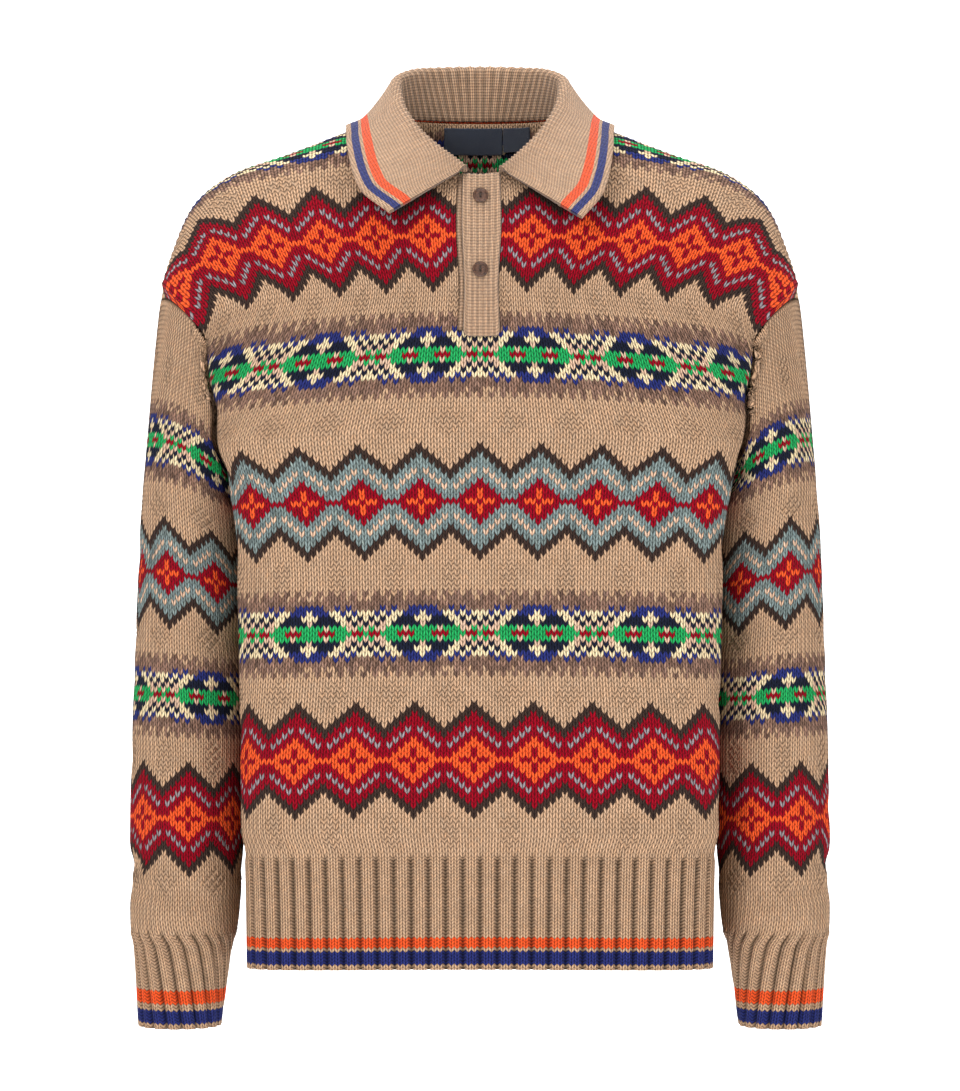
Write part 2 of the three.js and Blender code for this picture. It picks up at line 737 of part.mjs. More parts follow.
function collarStations(side) {
  const name = side > 0 ? "left" : "right";
  const end = Math.abs(COLLAR_ENDS[name]);
  const turn = (at) => Math.atan2(Math.abs(at.place.x), NECK.middleY - at.place.y);
  const half = neckline
    .filter(({ place }) => {
      const backMiddle = Math.abs(place.x) < AT_MIDDLE && place.y > 0;
      return place.x * side > end + AT_END || backMiddle;
    })
    .sort((a, b) => turn(a) - turn(b));
  const [inner] = neckline
    .filter(({ place }) => place.y < 0)
    .filter(({ place }) => place.x * side <= end + AT_END && place.x * side > -AT_END)
    .sort((a, b) => b.place.x * side - a.place.x * side);
  const innerX = Math.abs(inner.place.x);
  const t = (end - innerX) / (Math.abs(half[0].place.x) - innerX);
  const first = {
    place: inner.place.clone().lerp(half[0].place, t),
    normal: inner.normal.clone().lerp(half[0].normal, t).normalize(),
  };
  const bases = [first];
  for (const next of half) {
    const before = bases[bases.length - 1];
    const cuts = Math.ceil(next.place.distanceTo(before.place) / STATION_SPACING);
    for (let i = 1; i <= cuts; i += 1) {
      bases.push({
        place: before.place.clone().lerp(next.place, i / cuts),
        normal: before.normal.clone().lerp(next.normal, i / cuts).normalize(),
      });
    }
  }
  const lengths = [0];
  for (let i = 1; i < bases.length; i += 1) {
    lengths.push(lengths[i - 1] + bases[i].place.distanceTo(bases[i - 1].place));
  }
  return bases.map((base, i) => {
    const share = lengths[i] / lengths[lengths.length - 1];
    const row = rowAt(COLLAR_STATIONS[name], "share", share);
    return {
      base: base.place,
      normal: base.normal,
      fold: new THREE.Vector3(row.foldX, row.foldY, row.foldZ),
      edge: new THREE.Vector3(row.edgeX, row.edgeY, row.edgeZ),
    };
  });
}

const STAND_STEPS = 3;
const ROLL_STEPS = 4;
const ROLL_TURN = 0.9 * Math.PI;
const ROLL_SHARE = 0.45;
const FALL_STEPS = 5;
const SEAT_GAP = 0.6;
const SEAT_STEP = 0.1;
const WALL_STEPS = 4;

// How far a point is from the body's wall near the neckline.
function gapToRim(point, normal) {
  const seat = new THREE.Vector3();
  const nearby = bodyFacets.filter(({ middle }) => middle.distanceTo(point) < CLEAR_RANGE);
  let gap = Infinity;
  for (let step = 0; step <= WALL_STEPS; step += 1) {
    const raised = point.clone().addScaledVector(normal, (step * WALL) / WALL_STEPS);
    for (const { facet } of nearby) {
      facet.closestPointToPoint(raised, seat);
      gap = Math.min(gap, seat.distanceTo(raised));
    }
  }
  return gap;
}

function collarSection({ base, normal, fold, edge }) {
  const up = fold.clone().sub(base);
  const stand = up.length();
  up.normalize();
  const out = edge.clone().sub(fold);
  out.addScaledVector(up, -out.dot(up)).normalize();
  const roll = Math.min(COLLAR_ROLL, stand * ROLL_SHARE);
  const turn = fold.clone().addScaledVector(up, -roll);
  const seat = base.clone();
  const corners = [-1, 1].map((side) => out.clone().multiplyScalar((side * COLLAR_WALL) / 2));
  const gaps = () => corners.map((corner) => gapToRim(seat.clone().add(corner), normal));
  while (Math.min(...gaps()) < SEAT_GAP) seat.addScaledVector(up, SEAT_STEP);
  const heart = turn.clone().addScaledVector(out, roll);
  const places = [];
  for (let i = 0; i < STAND_STEPS; i += 1) places.push(seat.clone().lerp(turn, i / STAND_STEPS));
  for (let i = 0; i <= ROLL_STEPS; i += 1) {
    const angle = Math.PI - (ROLL_TURN * i) / ROLL_STEPS;
    const place = heart.clone().addScaledVector(out, roll * Math.cos(angle));
    places.push(place.addScaledVector(up, roll * Math.sin(angle)));
  }
  const from = places[places.length - 1];
  for (let i = 1; i <= FALL_STEPS; i += 1) {
    const place = from.clone().lerp(edge, i / FALL_STEPS);
    const onPlacket = Math.abs(place.x) < PLACKET_REACH && place.y < 0;
    const rest = onPlacket ? PLACKET_REST : COLLAR_REST;
    places.push(keepClear(place, rest + COLLAR_WALL / 2));
  }
  return places;
}

function collarSheet() {
  const right = collarStations(-1);
  const left = collarStations(1);
  const stations = [...right, ...left.slice(0, -1).reverse()];
  const strips = stations.map(collarSection);
  const rows = strips[0].map((_, i) => strips.map((strip, j) => ({ key: j, place: strip[i] })));
  const sheet = makeSheet(rows);
  faceNormals(sheet);
  return sheet;
}

// Plackets and labels are laid on a panel's own points, moved out or in.
function laidSheet(panel, columns, heightsAt, lift) {
  const strips = columns.map((x) => heightsAt(x).map((height) => {
    const laid = onPanel(panel, x / HALF_PANEL, height);
    return laid.place.addScaledVector(laid.normal, lift);
  }));
  const rows = strips[0].map((_, i) => strips.map((strip, j) => ({ key: j, place: strip[i] })));
  const sheet = makeSheet(rows);
  faceNormals(sheet);
  return sheet;
}

const SLOT_X = { left: SLOT_LEFT * WALE, right: SLOT_RIGHT * WALE };
const SLOT_PLAY = 0.8;
const NECK_PLAY = 2.4;

// The rows of a strip that runs up the front follow the front's own rows.
function stripHeights(x, bottom) {
  const top = topHeight("front", x / HALF_PANEL);
  const steps = [1, 2, 3].map((step) => blend(CHEST_HEIGHT, top, step / TOP_STEPS));
  return [bottom, PLACKET_ROW, CHEST_HEIGHT, ...steps, top - NECK_PLAY];
}

const PANEL_COLUMN = 1.5 * WALE;
const TOP_COLUMNS = [-PANEL_COLUMN, 0, PANEL_COLUMN, 12];
const UNDER_COLUMNS = [-2 * PANEL_COLUMN, -PANEL_COLUMN, 0];

function placketTop() {
  const { left, right, bottom, corner } = PLACKET;
  const columns = [left, left + corner / 2, ...TOP_COLUMNS, right - corner / 2, right];
  return laidSheet(front, columns, (x) => {
    const rounded = x === left || x === right ? corner : 0;
    return stripHeights(x, bottom + rounded);
  }, PLACKET.lift);
}

function placketUnder() {
  const columns = [SLOT_X.left + SLOT_PLAY, ...UNDER_COLUMNS, SLOT_X.right - SLOT_PLAY];
  return laidSheet(front, columns, (x) => stripHeights(x, SLOT_BOTTOM + SLOT_PLAY), 0);
}

const LABEL_COLUMN = 8;

function labelSheet(label) {
  const columns = [];
  const count = Math.ceil((label.right - label.left) / LABEL_COLUMN);
  for (let i = 0; i <= count; i += 1) columns.push(blend(label.left, label.right, i / count));
  return laidSheet(back, columns.map((x) => -x).reverse(), (x) => {
    const top = topHeight("back", x / HALF_PANEL);
    return [0, 0.5, 1].map((share) => blend(top - label.low, top - label.drop, share));
  }, 0);
}

// Solids for the pieces that are cut.
const wasm = await Module();
wasm.setup();
const MERGE_DISTANCE = 1e-4;

function toSolid(geometry) {
  geometry.deleteAttribute("normal");
  geometry.deleteAttribute("uv");
  const merged = mergeVertices(geometry, MERGE_DISTANCE);
  return new wasm.Manifold(new wasm.Mesh({
    numProp: 3,
    vertProperties: new Float32Array(merged.attributes.position.array),
    triVerts: new Uint32Array(merged.index.array),
  }));
}

function fromSolid(solid) {
  const mesh = solid.getMesh();
  const geometry = new THREE.BufferGeometry();
  geometry.setAttribute("position", new THREE.BufferAttribute(new Float32Array(mesh.vertProperties), 3));
  geometry.setIndex(new THREE.BufferAttribute(new Uint32Array(mesh.triVerts), 1));
  return geometry;
}

// Buttons: a dished disc with two sewing holes, square to the placket.
const BUTTON_SIDES = 24;
const HOLE_SIDES = 10;

function buttonGeometry() {
  const { radius, thick, dish, rim, hole, spacing } = BUTTON;
  const profile = [
    new THREE.Vector2(0, 0),
    new THREE.Vector2(radius - 0.8, 0),
    new THREE.Vector2(radius, 0.9),
    new THREE.Vector2(radius, thick - 0.7),
    new THREE.Vector2(radius - 0.6, thick),
    new THREE.Vector2(radius - rim, thick),
    new THREE.Vector2(radius - rim - 0.8, thick - dish),
    new THREE.Vector2(0, thick - dish),
  ];
  const body = new THREE.LatheGeometry(profile, BUTTON_SIDES).rotateX(Math.PI / 2);
  let solid = toSolid(body);
  for (const side of [-1, 1]) {
    const drill = new THREE.CylinderGeometry(hole, hole, 3 * thick, HOLE_SIDES);
    drill.rotateX(Math.PI / 2).translate(0, (side * spacing) / 2, 0);
    solid = solid.subtract(toSolid(drill));
  }
  return fromSolid(solid);
}

function namedMesh(name, geometry, colour, roughness = 0.95) {
  const material = new THREE.MeshStandardMaterial({ color: colour, roughness, metalness: 0 });
  const mesh = new THREE.Mesh(geometry, material);
  mesh.name = name;
  return mesh;
}

// A sleeve is trimmed back from the body panels where its crease would meet
// them, and keeps the seam's gap.
const panelGuards = [front, back].map((sheet) => {
  return toSolid(wallGeometry(sheet, SEAM_GAP, WALL + SEAM_GAP));
});

function sleeveGeometry(sheet) {
  let solid = toSolid(wallGeometry(sheet, 0, WALL));
  for (const guard of panelGuards) solid = solid.subtract(guard);
  const [largest] = solid.decompose().sort((a, b) => b.volume() - a.volume());
  return fromSolid(largest);
}

const collar = wallGeometry(collarSheet(), COLLAR_WALL / 2, COLLAR_WALL / 2);
const group = new THREE.Group();
group.add(namedMesh("front", wallGeometry(front, 0, WALL), COLOURS.cloth));
group.add(namedMesh("back", wallGeometry(back, 0, WALL), COLOURS.cloth));
group.add(namedMesh("sleeve_left", sleeveGeometry(sleeveLeft), COLOURS.cloth));
group.add(namedMesh("sleeve_right", sleeveGeometry(sleeveRight), COLOURS.cloth));
group.add(namedMesh("collar", collar, COLOURS.collar));
group.add(namedMesh("placket_top", wallGeometry(placketTop(), PLACKET.wall, 0), COLOURS.placket));
group.add(namedMesh("placket_under", wallGeometry(placketUnder(), 0, WALL), COLOURS.placket));

const LABEL_GAP = WALL + SEAM_GAP + 0.2;
for (const label of LABELS) {
  const woven = wallGeometry(labelSheet(label), -LABEL_GAP, LABEL_GAP + LABEL_WALL);
  group.add(namedMesh(label.name, woven, COLOURS.label));
}

for (const [name, height] of Object.entries(BUTTON_HEIGHTS)) {
  const seat = onPanel(front, BUTTON.x / HALF_PANEL, height);
  const button = namedMesh(name, buttonGeometry(), COLOURS.button, 0.35);
  const lift = PLACKET.lift + PLACKET.wall + SEAM_GAP;
  button.position.copy(seat.place).addScaledVector(seat.normal, lift);
  button.quaternion.setFromUnitVectors(new THREE.Vector3(0, 0, 1), seat.normal);
  group.add(button);
}

export default group;
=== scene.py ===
import math

import bmesh
import bpy
import numpy as np
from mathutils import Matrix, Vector
from mathutils.bvhtree import BVHTree


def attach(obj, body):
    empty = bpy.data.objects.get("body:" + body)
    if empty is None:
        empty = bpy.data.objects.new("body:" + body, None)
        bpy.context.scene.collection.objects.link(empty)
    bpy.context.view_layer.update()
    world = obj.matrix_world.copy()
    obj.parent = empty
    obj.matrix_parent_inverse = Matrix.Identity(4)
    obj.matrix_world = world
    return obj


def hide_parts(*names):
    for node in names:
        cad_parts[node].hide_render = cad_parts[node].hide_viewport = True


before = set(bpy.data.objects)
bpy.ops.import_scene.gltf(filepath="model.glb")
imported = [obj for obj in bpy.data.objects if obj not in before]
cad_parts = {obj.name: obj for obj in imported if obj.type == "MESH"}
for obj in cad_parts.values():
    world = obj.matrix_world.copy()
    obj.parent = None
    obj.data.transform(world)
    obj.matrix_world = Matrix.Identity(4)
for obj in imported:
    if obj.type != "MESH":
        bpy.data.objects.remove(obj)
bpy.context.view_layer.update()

# The studio: a level camera in front of the chest, a white floor that runs
# up into a white backdrop, and large soft lights on both sides, above and
# behind.
EYE = (0.0, -3.2, -0.328)
camera_data = bpy.data.cameras.new("camera")
camera_data.lens = 130.36
camera_data.sensor_width = 36.0
camera = bpy.data.objects.new("camera", camera_data)
camera.location = EYE
camera.rotation_euler = (math.pi / 2, 0, 0)
bpy.context.scene.collection.objects.link(camera)
bpy.context.scene.camera = camera
bpy.context.scene.view_settings.view_transform = "Standard"

FLOOR_LEVEL = -1.9
BACKDROP_TOP = 4.0
BACKDROP_FAR = 4.6
CURVE_RADIUS = 0.8
CURVE_STEPS = 12
FLOOR_REACH = 5.0
AIM = (0, 0, -0.35)


def add_object(name, mesh):
    thing = bpy.data.objects.new(name, mesh)
    bpy.context.scene.collection.objects.link(thing)
    return thing


def set_inputs(node, values):
    for name, value in values.items():
        node.inputs[name].default_value = value
    return node


def start_material(name):
    material = bpy.data.materials.new(name)
    material.use_nodes = True
    nodes = material.node_tree.nodes
    return material, nodes, material.node_tree.links, nodes["Principled BSDF"]


def studio_paper():
    paper, _, _, shader = start_material("studio_paper")
    set_inputs(shader, {
        "Base Color": (0.94, 0.94, 0.94, 1), "Roughness": 1.0,
        "Emission Color": (1, 1, 1, 1), "Emission Strength": 0.75,
    })
    return paper


def studio_sweep():
    bm = bmesh.new()
    edge = bm.edges.new([bm.verts.new((x, -FLOOR_REACH, FLOOR_LEVEL)) for x in (-FLOOR_REACH, FLOOR_REACH)])
    path = [(BACKDROP_FAR - CURVE_RADIUS, FLOOR_LEVEL)]
    for step in range(1, CURVE_STEPS + 1):
        turn = math.pi / 2 * step / CURVE_STEPS
        y = BACKDROP_FAR - CURVE_RADIUS + CURVE_RADIUS * math.sin(turn)
        path.append((y, FLOOR_LEVEL + CURVE_RADIUS * (1 - math.cos(turn))))
    path.append((BACKDROP_FAR, BACKDROP_TOP))
    for y, z in path:
        grown = bmesh.ops.extrude_edge_only(bm, edges=[edge])["geom"]
        edge = next(part for part in grown if isinstance(part, bmesh.types.BMEdge))
        for vert in edge.verts:
            vert.co.y = y
            vert.co.z = z
    bmesh.ops.recalc_face_normals(bm, faces=bm.faces[:])
    mesh = bpy.data.meshes.new("studio_sweep")
    bm.to_mesh(mesh)
    bm.free()
    mesh.shade_smooth()
    mesh.materials.append(studio_paper())
    return add_object("studio_sweep", mesh)


studio_sweep()


def soft_light(name, place, size, power):
    data = bpy.data.lights.new(name, "AREA")
    data.shape = "RECTANGLE"
    data.size = size[0]
    data.size_y = size[1]
    data.energy = power
    light = bpy.data.objects.new(name, data)
    light.location = place
    light.rotation_euler = (Vector(AIM) - Vector(place)).to_track_quat("-Z", "Y").to_euler()
    bpy.context.scene.collection.objects.link(light)


soft_light("key_light", (-1.7, -2.4, 1.5), (1.2, 1.6), 56)
soft_light("fill_light", (2.0, -2.2, 0.6), (1.2, 1.8), 28)
soft_light("top_light", (0.0, -0.3, 2.4), (1.6, 1.2), 34)
soft_light("back_light", (0.0, 2.2, 1.6), (2.0, 1.2), 14)
world = bpy.data.worlds.new("studio")
world.use_nodes = True
set_inputs(world.node_tree.nodes["Background"], {"Color": (1, 1, 1, 1), "Strength": 0.62})
bpy.context.scene.world = world

# Front panel: a wool panel knitted from the hem up in stocking stitch, with
# a ribbed hem and six bands of fair isle. It is 123 stitches wide, and is
# cut at the neck and left open for the placket. Sizes are in millimetres.
WALES = 123
HALF_PANEL = 271.95
COURSE = 3.97
LEG_DROP = 0.78
RIB_HEIGHT = 90.0
RIB_ROWS = 34
ARMPIT_HEIGHT = 423.0
CHEST_HEIGHT = 579.0
ARMHOLE_DEPTH = 240.0
NECK_HEIGHT = 708.0
SHOULDER_HEIGHT = 663.0
NECK_SHARE = 80.85 / HALF_PANEL
NECK = {"half": 75, "middle": 6, "front": -71, "back": 62, "side_z": 21, "front_z": -33, "back_z": 20}
SLOT_WALES = (57, 63)
SLOT_BOTTOM = 501.0
EDGE_FALL = 12
TUCK = 0.3
CLOTH_THICKNESS = 2.6
MM = 0.001


def table(names, rows):
    return {name: np.array([row[i] for row in rows], float) for i, name in enumerate(names)}


COURSES = ["height", "level", "middle", "power", "width", "widest", "droop", "sweep"]
FRONT_COURSES = table(COURSES, [
    [0, -661.5, -95, 3.0, 185, -42, 5, 90],
    [90, -571.5, -97, 3.0, 186.5, -45, 6, 90],
    [110, -551.5, -104, 3.0, 190, -51, 6, 90],
    [166, -495.5, -106, 3.0, 190.5, -52, 7, 90],
    [262, -399.5, -107, 3.0, 192, -52, 6, 90],
    [345, -316.5, -109, 3.0, 194, -53, 8, 90],
    [385, -276.5, -110, 3.0, 200, -55, 11, 90],
    [423, -238.5, -110, 2.9, 209, -57, 16, 90],
    [483, -178.5, -108, 2.8, 215, -61, 24, 90],
    [530, -131.5, -102, 2.5, 219, -66, 18, 80],
    [579, -83, -89, 2.2, 246, -36, 19, 72],
])
BACK_COURSES = table(COURSES, [
    [0, -671, 95, 3.0, 185, 44, 0, 90],
    [90, -580, 94, 3.0, 186.5, 44, 0, 90],
    [110, -560, 99, 3.0, 190, 48, 0, 90],
    [166, -503, 97, 3.0, 190, 48, 0, 90],
    [262, -405, 90, 3.0, 191, 46, 2, 90],
    [345, -320, 92, 2.9, 190, 46, 3, 90],
    [385, -280, 96, 2.8, 190, 46, 4, 90],
    [423, -241, 101, 2.7, 193, 48, 5, 90],
    [450, -214, 104, 2.7, 192, 40, 7, 78],
    [483, -181, 107, 2.6, 199, 66, 10, 62],
    [530, -133, 109, 2.5, 215, 90, 16, 58],
    [579, -84, 108, 2.4, 240.5, 98, 22, 60],
])
SIDE_SEAM = table(["height", "x", "z"], [
    [0, 184, -666.5], [90, 185, -573.6], [110, 187, -553], [166, 186, -495.2],
    [262, 181, -396.1], [345, 180, -310.5], [385, 182, -269.2], [423, 186, -230],
])
SEAM_MIDDLE = 3.0
ARMHOLES = {
    "front": np.array([[186, 3, -230], [182, -98, -200], [246, -92, -118], [262, 42, -128]], float),
    "back": np.array([[186, 3, -230], [192, 122, -205], [252, 132, -122], [262, 42, -128]], float),
}
SHOULDER = table(["x", "y", "z"], [
    [75, 6, 21], [113, 12, 6.5], [157, 20, -10], [202, 27, -26],
    [235, 33, -52], [251, 38, -88], [262, 42, -128],
])
PITCHES = table(["share", "front", "back"], [
    [0, 65, 72], [0.2, 55, 60], [0.3, 22, 26], [0.45, 2, 14], [0.7, -8, 16], [1, -4, 18],
])

# The creases, one a row: where each lies, the way it runs, how long, how
# broad and how deep it is. A negative depth is a swell.
FOLD = ["share", "height", "slant", "reach", "breadth", "depth"]
FRONT_FOLDS = table(FOLD, [
    [0.78, 455, 190, 0.16, 13, 5],
    [0.66, 395, 150, 0.2, 15, 3],
    [-0.8, 450, -170, 0.15, 14, 5],
    [-0.68, 385, -160, 0.2, 15, 3.5],
    [0.45, 122, 20, 0.3, 9, 2.5],
    [-0.35, 128, -15, 0.32, 9, 2.5],
    [0.86, 505, 240, 0.09, 8, 3.5],
    [-0.87, 512, -230, 0.08, 8, 3.5],
    [0.7, 330, 80, 0.17, 12, 1.8],
    [-0.62, 318, -90, 0.2, 13, 2],
    [0.15, 250, 30, 0.25, 16, 1.2],
    [-0.2, 205, -25, 0.22, 14, 1.2],
    [0.8, 215, 60, 0.12, 10, 1.8],
    [-0.82, 190, -50, 0.12, 10, 1.6],
    [-0.5, 600, -140, 0.13, 10, 1.8],
    [0.52, 596, 130, 0.13, 10, 1.8],
])
BACK_FOLDS = table(FOLD, [
    [0.76, 450, 190, 0.17, 14, 5],
    [-0.74, 445, -180, 0.17, 14, 5],
    [0.3, 130, 20, 0.4, 10, 3],
    [-0.4, 175, -25, 0.35, 12, 3],
    [0.05, 240, 15, 0.45, 12, 3.5],
    [-0.15, 310, -30, 0.3, 13, 2.2],
    [0.55, 360, 90, 0.2, 14, 2.5],
    [-0.6, 350, -100, 0.2, 12, 2.5],
    [0.84, 520, 220, 0.09, 9, 3],
    [-0.83, 510, -240, 0.09, 9, 3],
])
PANELS = {
    "front": {"courses": FRONT_COURSES, "neck_drop": 75.0, "folds": FRONT_FOLDS, "side": -1},
    "back": {"courses": BACK_COURSES, "neck_drop": 20.0, "folds": BACK_FOLDS, "side": 1},
}


def column_at(rows, key, name, value):
    """A smooth curve through one column of a table, without overshoot."""
    x = rows[key]
    y = rows[name]
    slope = np.diff(y) / np.diff(x)
    both = slope[:-1] * slope[1:]
    total = np.where(both > 0, slope[:-1] + slope[1:], 1)
    inner = np.where(both > 0, 2 * both / total, 0)
    tangent = np.concatenate(([slope[0]], inner, [slope[-1]]))
    i = np.clip(np.searchsorted(x, value) - 1, 0, len(x) - 2)
    span = x[i + 1] - x[i]
    t = np.clip((value - x[i]) / span, 0, 1)
    rise = tangent[i] * span * t * (1 - t) ** 2 - tangent[i + 1] * span * t * t * (1 - t)
    return y[i] + (y[i + 1] - y[i]) * t * t * (3 - 2 * t) + rise


LINE_STEPS = 201


def along_curve(corners, share):
    """Points of a cubic curve by their share of its length."""
    t = np.linspace(0, 1, LINE_STEPS)

    def at(t):
        weights = [(1 - t) ** 3, 3 * t * (1 - t) ** 2, 3 * t * t * (1 - t), t ** 3]
        return sum(weight * corner[:, None] for weight, corner in zip(weights, corners))

    steps = np.linalg.norm(np.diff(at(t)), axis=0)
    lengths = np.concatenate(([0], np.cumsum(steps)))
    return at(np.interp(share * lengths[-1], lengths, t))


def panel_edge(name, height):
    seam = np.array([
        column_at(SIDE_SEAM, "height", "x", height),
        np.full_like(height, SEAM_MIDDLE),
        column_at(SIDE_SEAM, "height", "z", height),
    ])
    share = np.clip((height - ARMPIT_HEIGHT) / ARMHOLE_DEPTH, 0, 1)
    return np.where(height > ARMPIT_HEIGHT, along_curve(ARMHOLES[name], share), seam)


ARC_STEPS = 41
TUCK_STEPS = 10


def course_point(name, u, height):
    """Places on the courses, by their share of the way from the middle to the side seam."""
    rows = PANELS[name]["courses"]
    course = {key: column_at(rows, "height", key, height) for key in COURSES[1:]}
    edge = panel_edge(name, height)
    sweep = np.radians(course["sweep"])
    turn = sweep * np.linspace(0, 1, ARC_STEPS)[:, None]
    power = 2 / course["power"]
    rest = np.maximum(np.cos(sweep), 0) ** power
    across = (np.sin(turn) / np.sin(sweep)) ** power
    out = (np.maximum(np.cos(turn), 0) ** power - rest) / (1 - rest)
    arc_x = course["width"] * across
    arc_y = course["widest"] + (course["middle"] - course["widest"]) * out
    t = np.linspace(1 / TUCK_STEPS, 1, TUCK_STEPS)[:, None]
    pull_y = course["widest"] + (edge[1] - course["widest"]) * TUCK
    tuck_x = course["width"] * (1 - t * t) + edge[0] * t * t
    tuck_y = course["widest"] * (1 - t) ** 2 + 2 * pull_y * t * (1 - t) + edge[1] * t * t
    path_x = np.concatenate((arc_x, tuck_x))
    path_y = np.concatenate((arc_y, tuck_y))
    steps = np.hypot(np.diff(path_x, axis=0), np.diff(path_y, axis=0))
    lengths = np.concatenate((np.zeros((1, len(u))), np.cumsum(steps, axis=0)))
    share = np.abs(u)
    goal = share * lengths[-1]
    i = np.clip((lengths < goal).sum(axis=0), 1, len(lengths) - 1)
    column = np.arange(len(u))
    within = (goal - lengths[i - 1, column]) / (lengths[i, column] - lengths[i - 1, column])
    x = path_x[i - 1, column] * (1 - within) + path_x[i, column] * within
    y = path_y[i - 1, column] * (1 - within) + path_y[i, column] * within
    lift = edge[2] - (course["level"] - course["droop"])
    z = course["level"] - course["droop"] * share ** 2 + lift * share ** EDGE_FALL
    return np.array([np.sign(u) * x, y, z])


def top_height(name, u):
    share = np.abs(u)
    across = np.clip(share / NECK_SHARE, 0, 1)
    neck = NECK_HEIGHT - PANELS[name]["neck_drop"] * np.sqrt(1 - across ** 2)
    along = (share - NECK_SHARE) / (1 - NECK_SHARE)
    shoulder = NECK_HEIGHT + (SHOULDER_HEIGHT - NECK_HEIGHT) * along
    return np.where(share < NECK_SHARE, neck, shoulder)


def top_point(name, u):
    share = np.abs(u)
    steps = np.sqrt(sum(np.diff(SHOULDER[axis]) ** 2 for axis in "xyz"))
    lengths = np.concatenate(([0], np.cumsum(steps)))
    keyed = dict(SHOULDER, share=lengths / lengths[-1])
    along = np.clip((share - NECK_SHARE) / (1 - NECK_SHARE), 0, 1)
    x, y, z = (column_at(keyed, "share", axis, along) for axis in "xyz")
    turn = np.arcsin(np.clip(share / NECK_SHARE, 0, 1))
    inside = share < NECK_SHARE
    neck_y = NECK["middle"] + (NECK[name] - NECK["middle"]) * np.cos(turn)
    neck_z = NECK["side_z"] + (NECK[name + "_z"] - NECK["side_z"]) * np.cos(turn)
    mirror = np.where(u < 0, -1, 1)
    return np.array([
        mirror * np.where(inside, NECK["half"] * np.sin(turn), x),
        np.where(inside, neck_y, y),
        np.where(inside, neck_z, z),
    ])


def top_slope(name, u):
    share = np.abs(u)
    pitch = np.radians(column_at(PITCHES, "share", name, share))
    slope = np.array([np.zeros_like(u), -PANELS[name]["side"] * np.cos(pitch), np.sin(pitch)])
    tip = ARMHOLES[name][3] - ARMHOLES[name][2]
    tip = tip / np.linalg.norm(tip)
    tips = np.array([np.where(u < 0, -1, 1) * tip[0], np.full_like(u, tip[1]), np.full_like(u, tip[2])])
    slope = slope + (tips - slope) * share ** EDGE_FALL
    return slope / np.linalg.norm(slope, axis=0)


SLOPE_STEP = 2.0


def panel_point(name, u, height):
    """Places on a panel: its courses up to the chest, and smooth curves from there to its top edge."""
    place = course_point(name, u, np.minimum(height, CHEST_HEIGHT))
    high = height > CHEST_HEIGHT
    if not high.any():
        return place
    across = u[high]
    length = top_height(name, across) - CHEST_HEIGHT
    t = (height[high] - CHEST_HEIGHT) / length
    start = course_point(name, across, np.full_like(across, CHEST_HEIGHT))
    below = course_point(name, across, np.full_like(across, CHEST_HEIGHT - SLOPE_STEP))
    rise = (start - below) * length / SLOPE_STEP
    place[:, high] = (
        start * (1 + 2 * t) * (1 - t) ** 2 + rise * t * (1 - t) ** 2
        + top_point(name, across) * t * t * (3 - 2 * t)
        + top_slope(name, across) * length * t * t * (t - 1)
    )
    return place


def fold_depth(folds, share, height, turns=False):
    depth = np.zeros_like(height)
    for i in range(len(folds["share"])):
        off = share - folds["share"][i]
        if turns:
            off = off - np.rint(off)
        across = (height - folds["height"][i] - folds["slant"][i] * off) / folds["breadth"][i]
        depth += folds["depth"][i] * np.exp(-(off / folds["reach"][i]) ** 2 - across ** 2)
    return depth


SHARE_STEP = 0.012
FOLD_FREE = {"low": 84.0, "rise": 16.0, "top": 12.0}


def unit(vectors):
    return vectors / np.linalg.norm(vectors, axis=1)[:, None]


def panel_cloth(name, u, height):
    """Places on a panel's smooth cloth, with its creases, and the ways out from it."""
    top = top_height(name, u)
    low = np.clip(height - SLOPE_STEP / 2, 0, top - SLOPE_STEP)
    rise = panel_point(name, u, low + SLOPE_STEP) - panel_point(name, u, low)
    left = np.clip(u - SHARE_STEP / 2, -1, 1 - SHARE_STEP)
    run = panel_point(name, left + SHARE_STEP, height) - panel_point(name, left, height)
    out = unit(np.cross(run.T, rise.T) * -PANELS[name]["side"])
    free = (1 - np.abs(u) ** EDGE_FALL) * np.clip((height - FOLD_FREE["low"]) / FOLD_FREE["rise"], 0, 1)
    free = free * np.clip((top - height) / FOLD_FREE["top"], 0, 1)
    depth = free * fold_depth(PANELS[name]["folds"], u, height)
    return panel_point(name, u, height).T - out * depth[:, None], out


# The yarns, and the charts of the bands. A letter is one stitch: an OXO row
# runs from the middle of an O to the middle of an X, and is mirrored.
YARNS = {
    "tan": (201, 163, 131), "brown": (62, 46, 40), "crimson": (150, 2, 28), "orange": (255, 92, 42),
    "grey": (128, 142, 140), "fleck": (150, 138, 142), "green": (36, 170, 92), "royal": (42, 50, 116),
    "navy": (26, 31, 50), "cream": (242, 219, 176), "pink": (222, 184, 156), "mauve": (140, 108, 92),
}
LETTERS = {
    "B": "royal", "N": "navy", "C": "cream", "P": "pink", "G": "green", "R": "crimson", "M": "mauve",
}
OXO_ROWS = [
    "GGRRRGGGRRG", "GGGPGGGPPGP", "PNNNNNCPNPN", "CCNNNCCNCNC", "CBBBCCBCBCC", "BBBMMBMBMMM",
]
OXO_PERIOD = 20
MOTTLED_SHARE = 0.8
ZIGZAG_PERIOD = 10
ZIGZAG_HEIGHT = 9
ZIGZAG_EDGE = 2
FLECK_HEIGHT = 7
HEART_REACH = 4
# A band is its middle row, its kind, and how many stitches it is moved over.
LOW_BANDS = [(42, "red", 1), (67, "oxo", 0), (93, "grey", 0), (122, "oxo", 0), (146, "red", 0)]
BODY_BANDS = {"front": LOW_BANDS + [(170, "oxo", 0)], "back": LOW_BANDS + [(165, "oxo", 0)]}
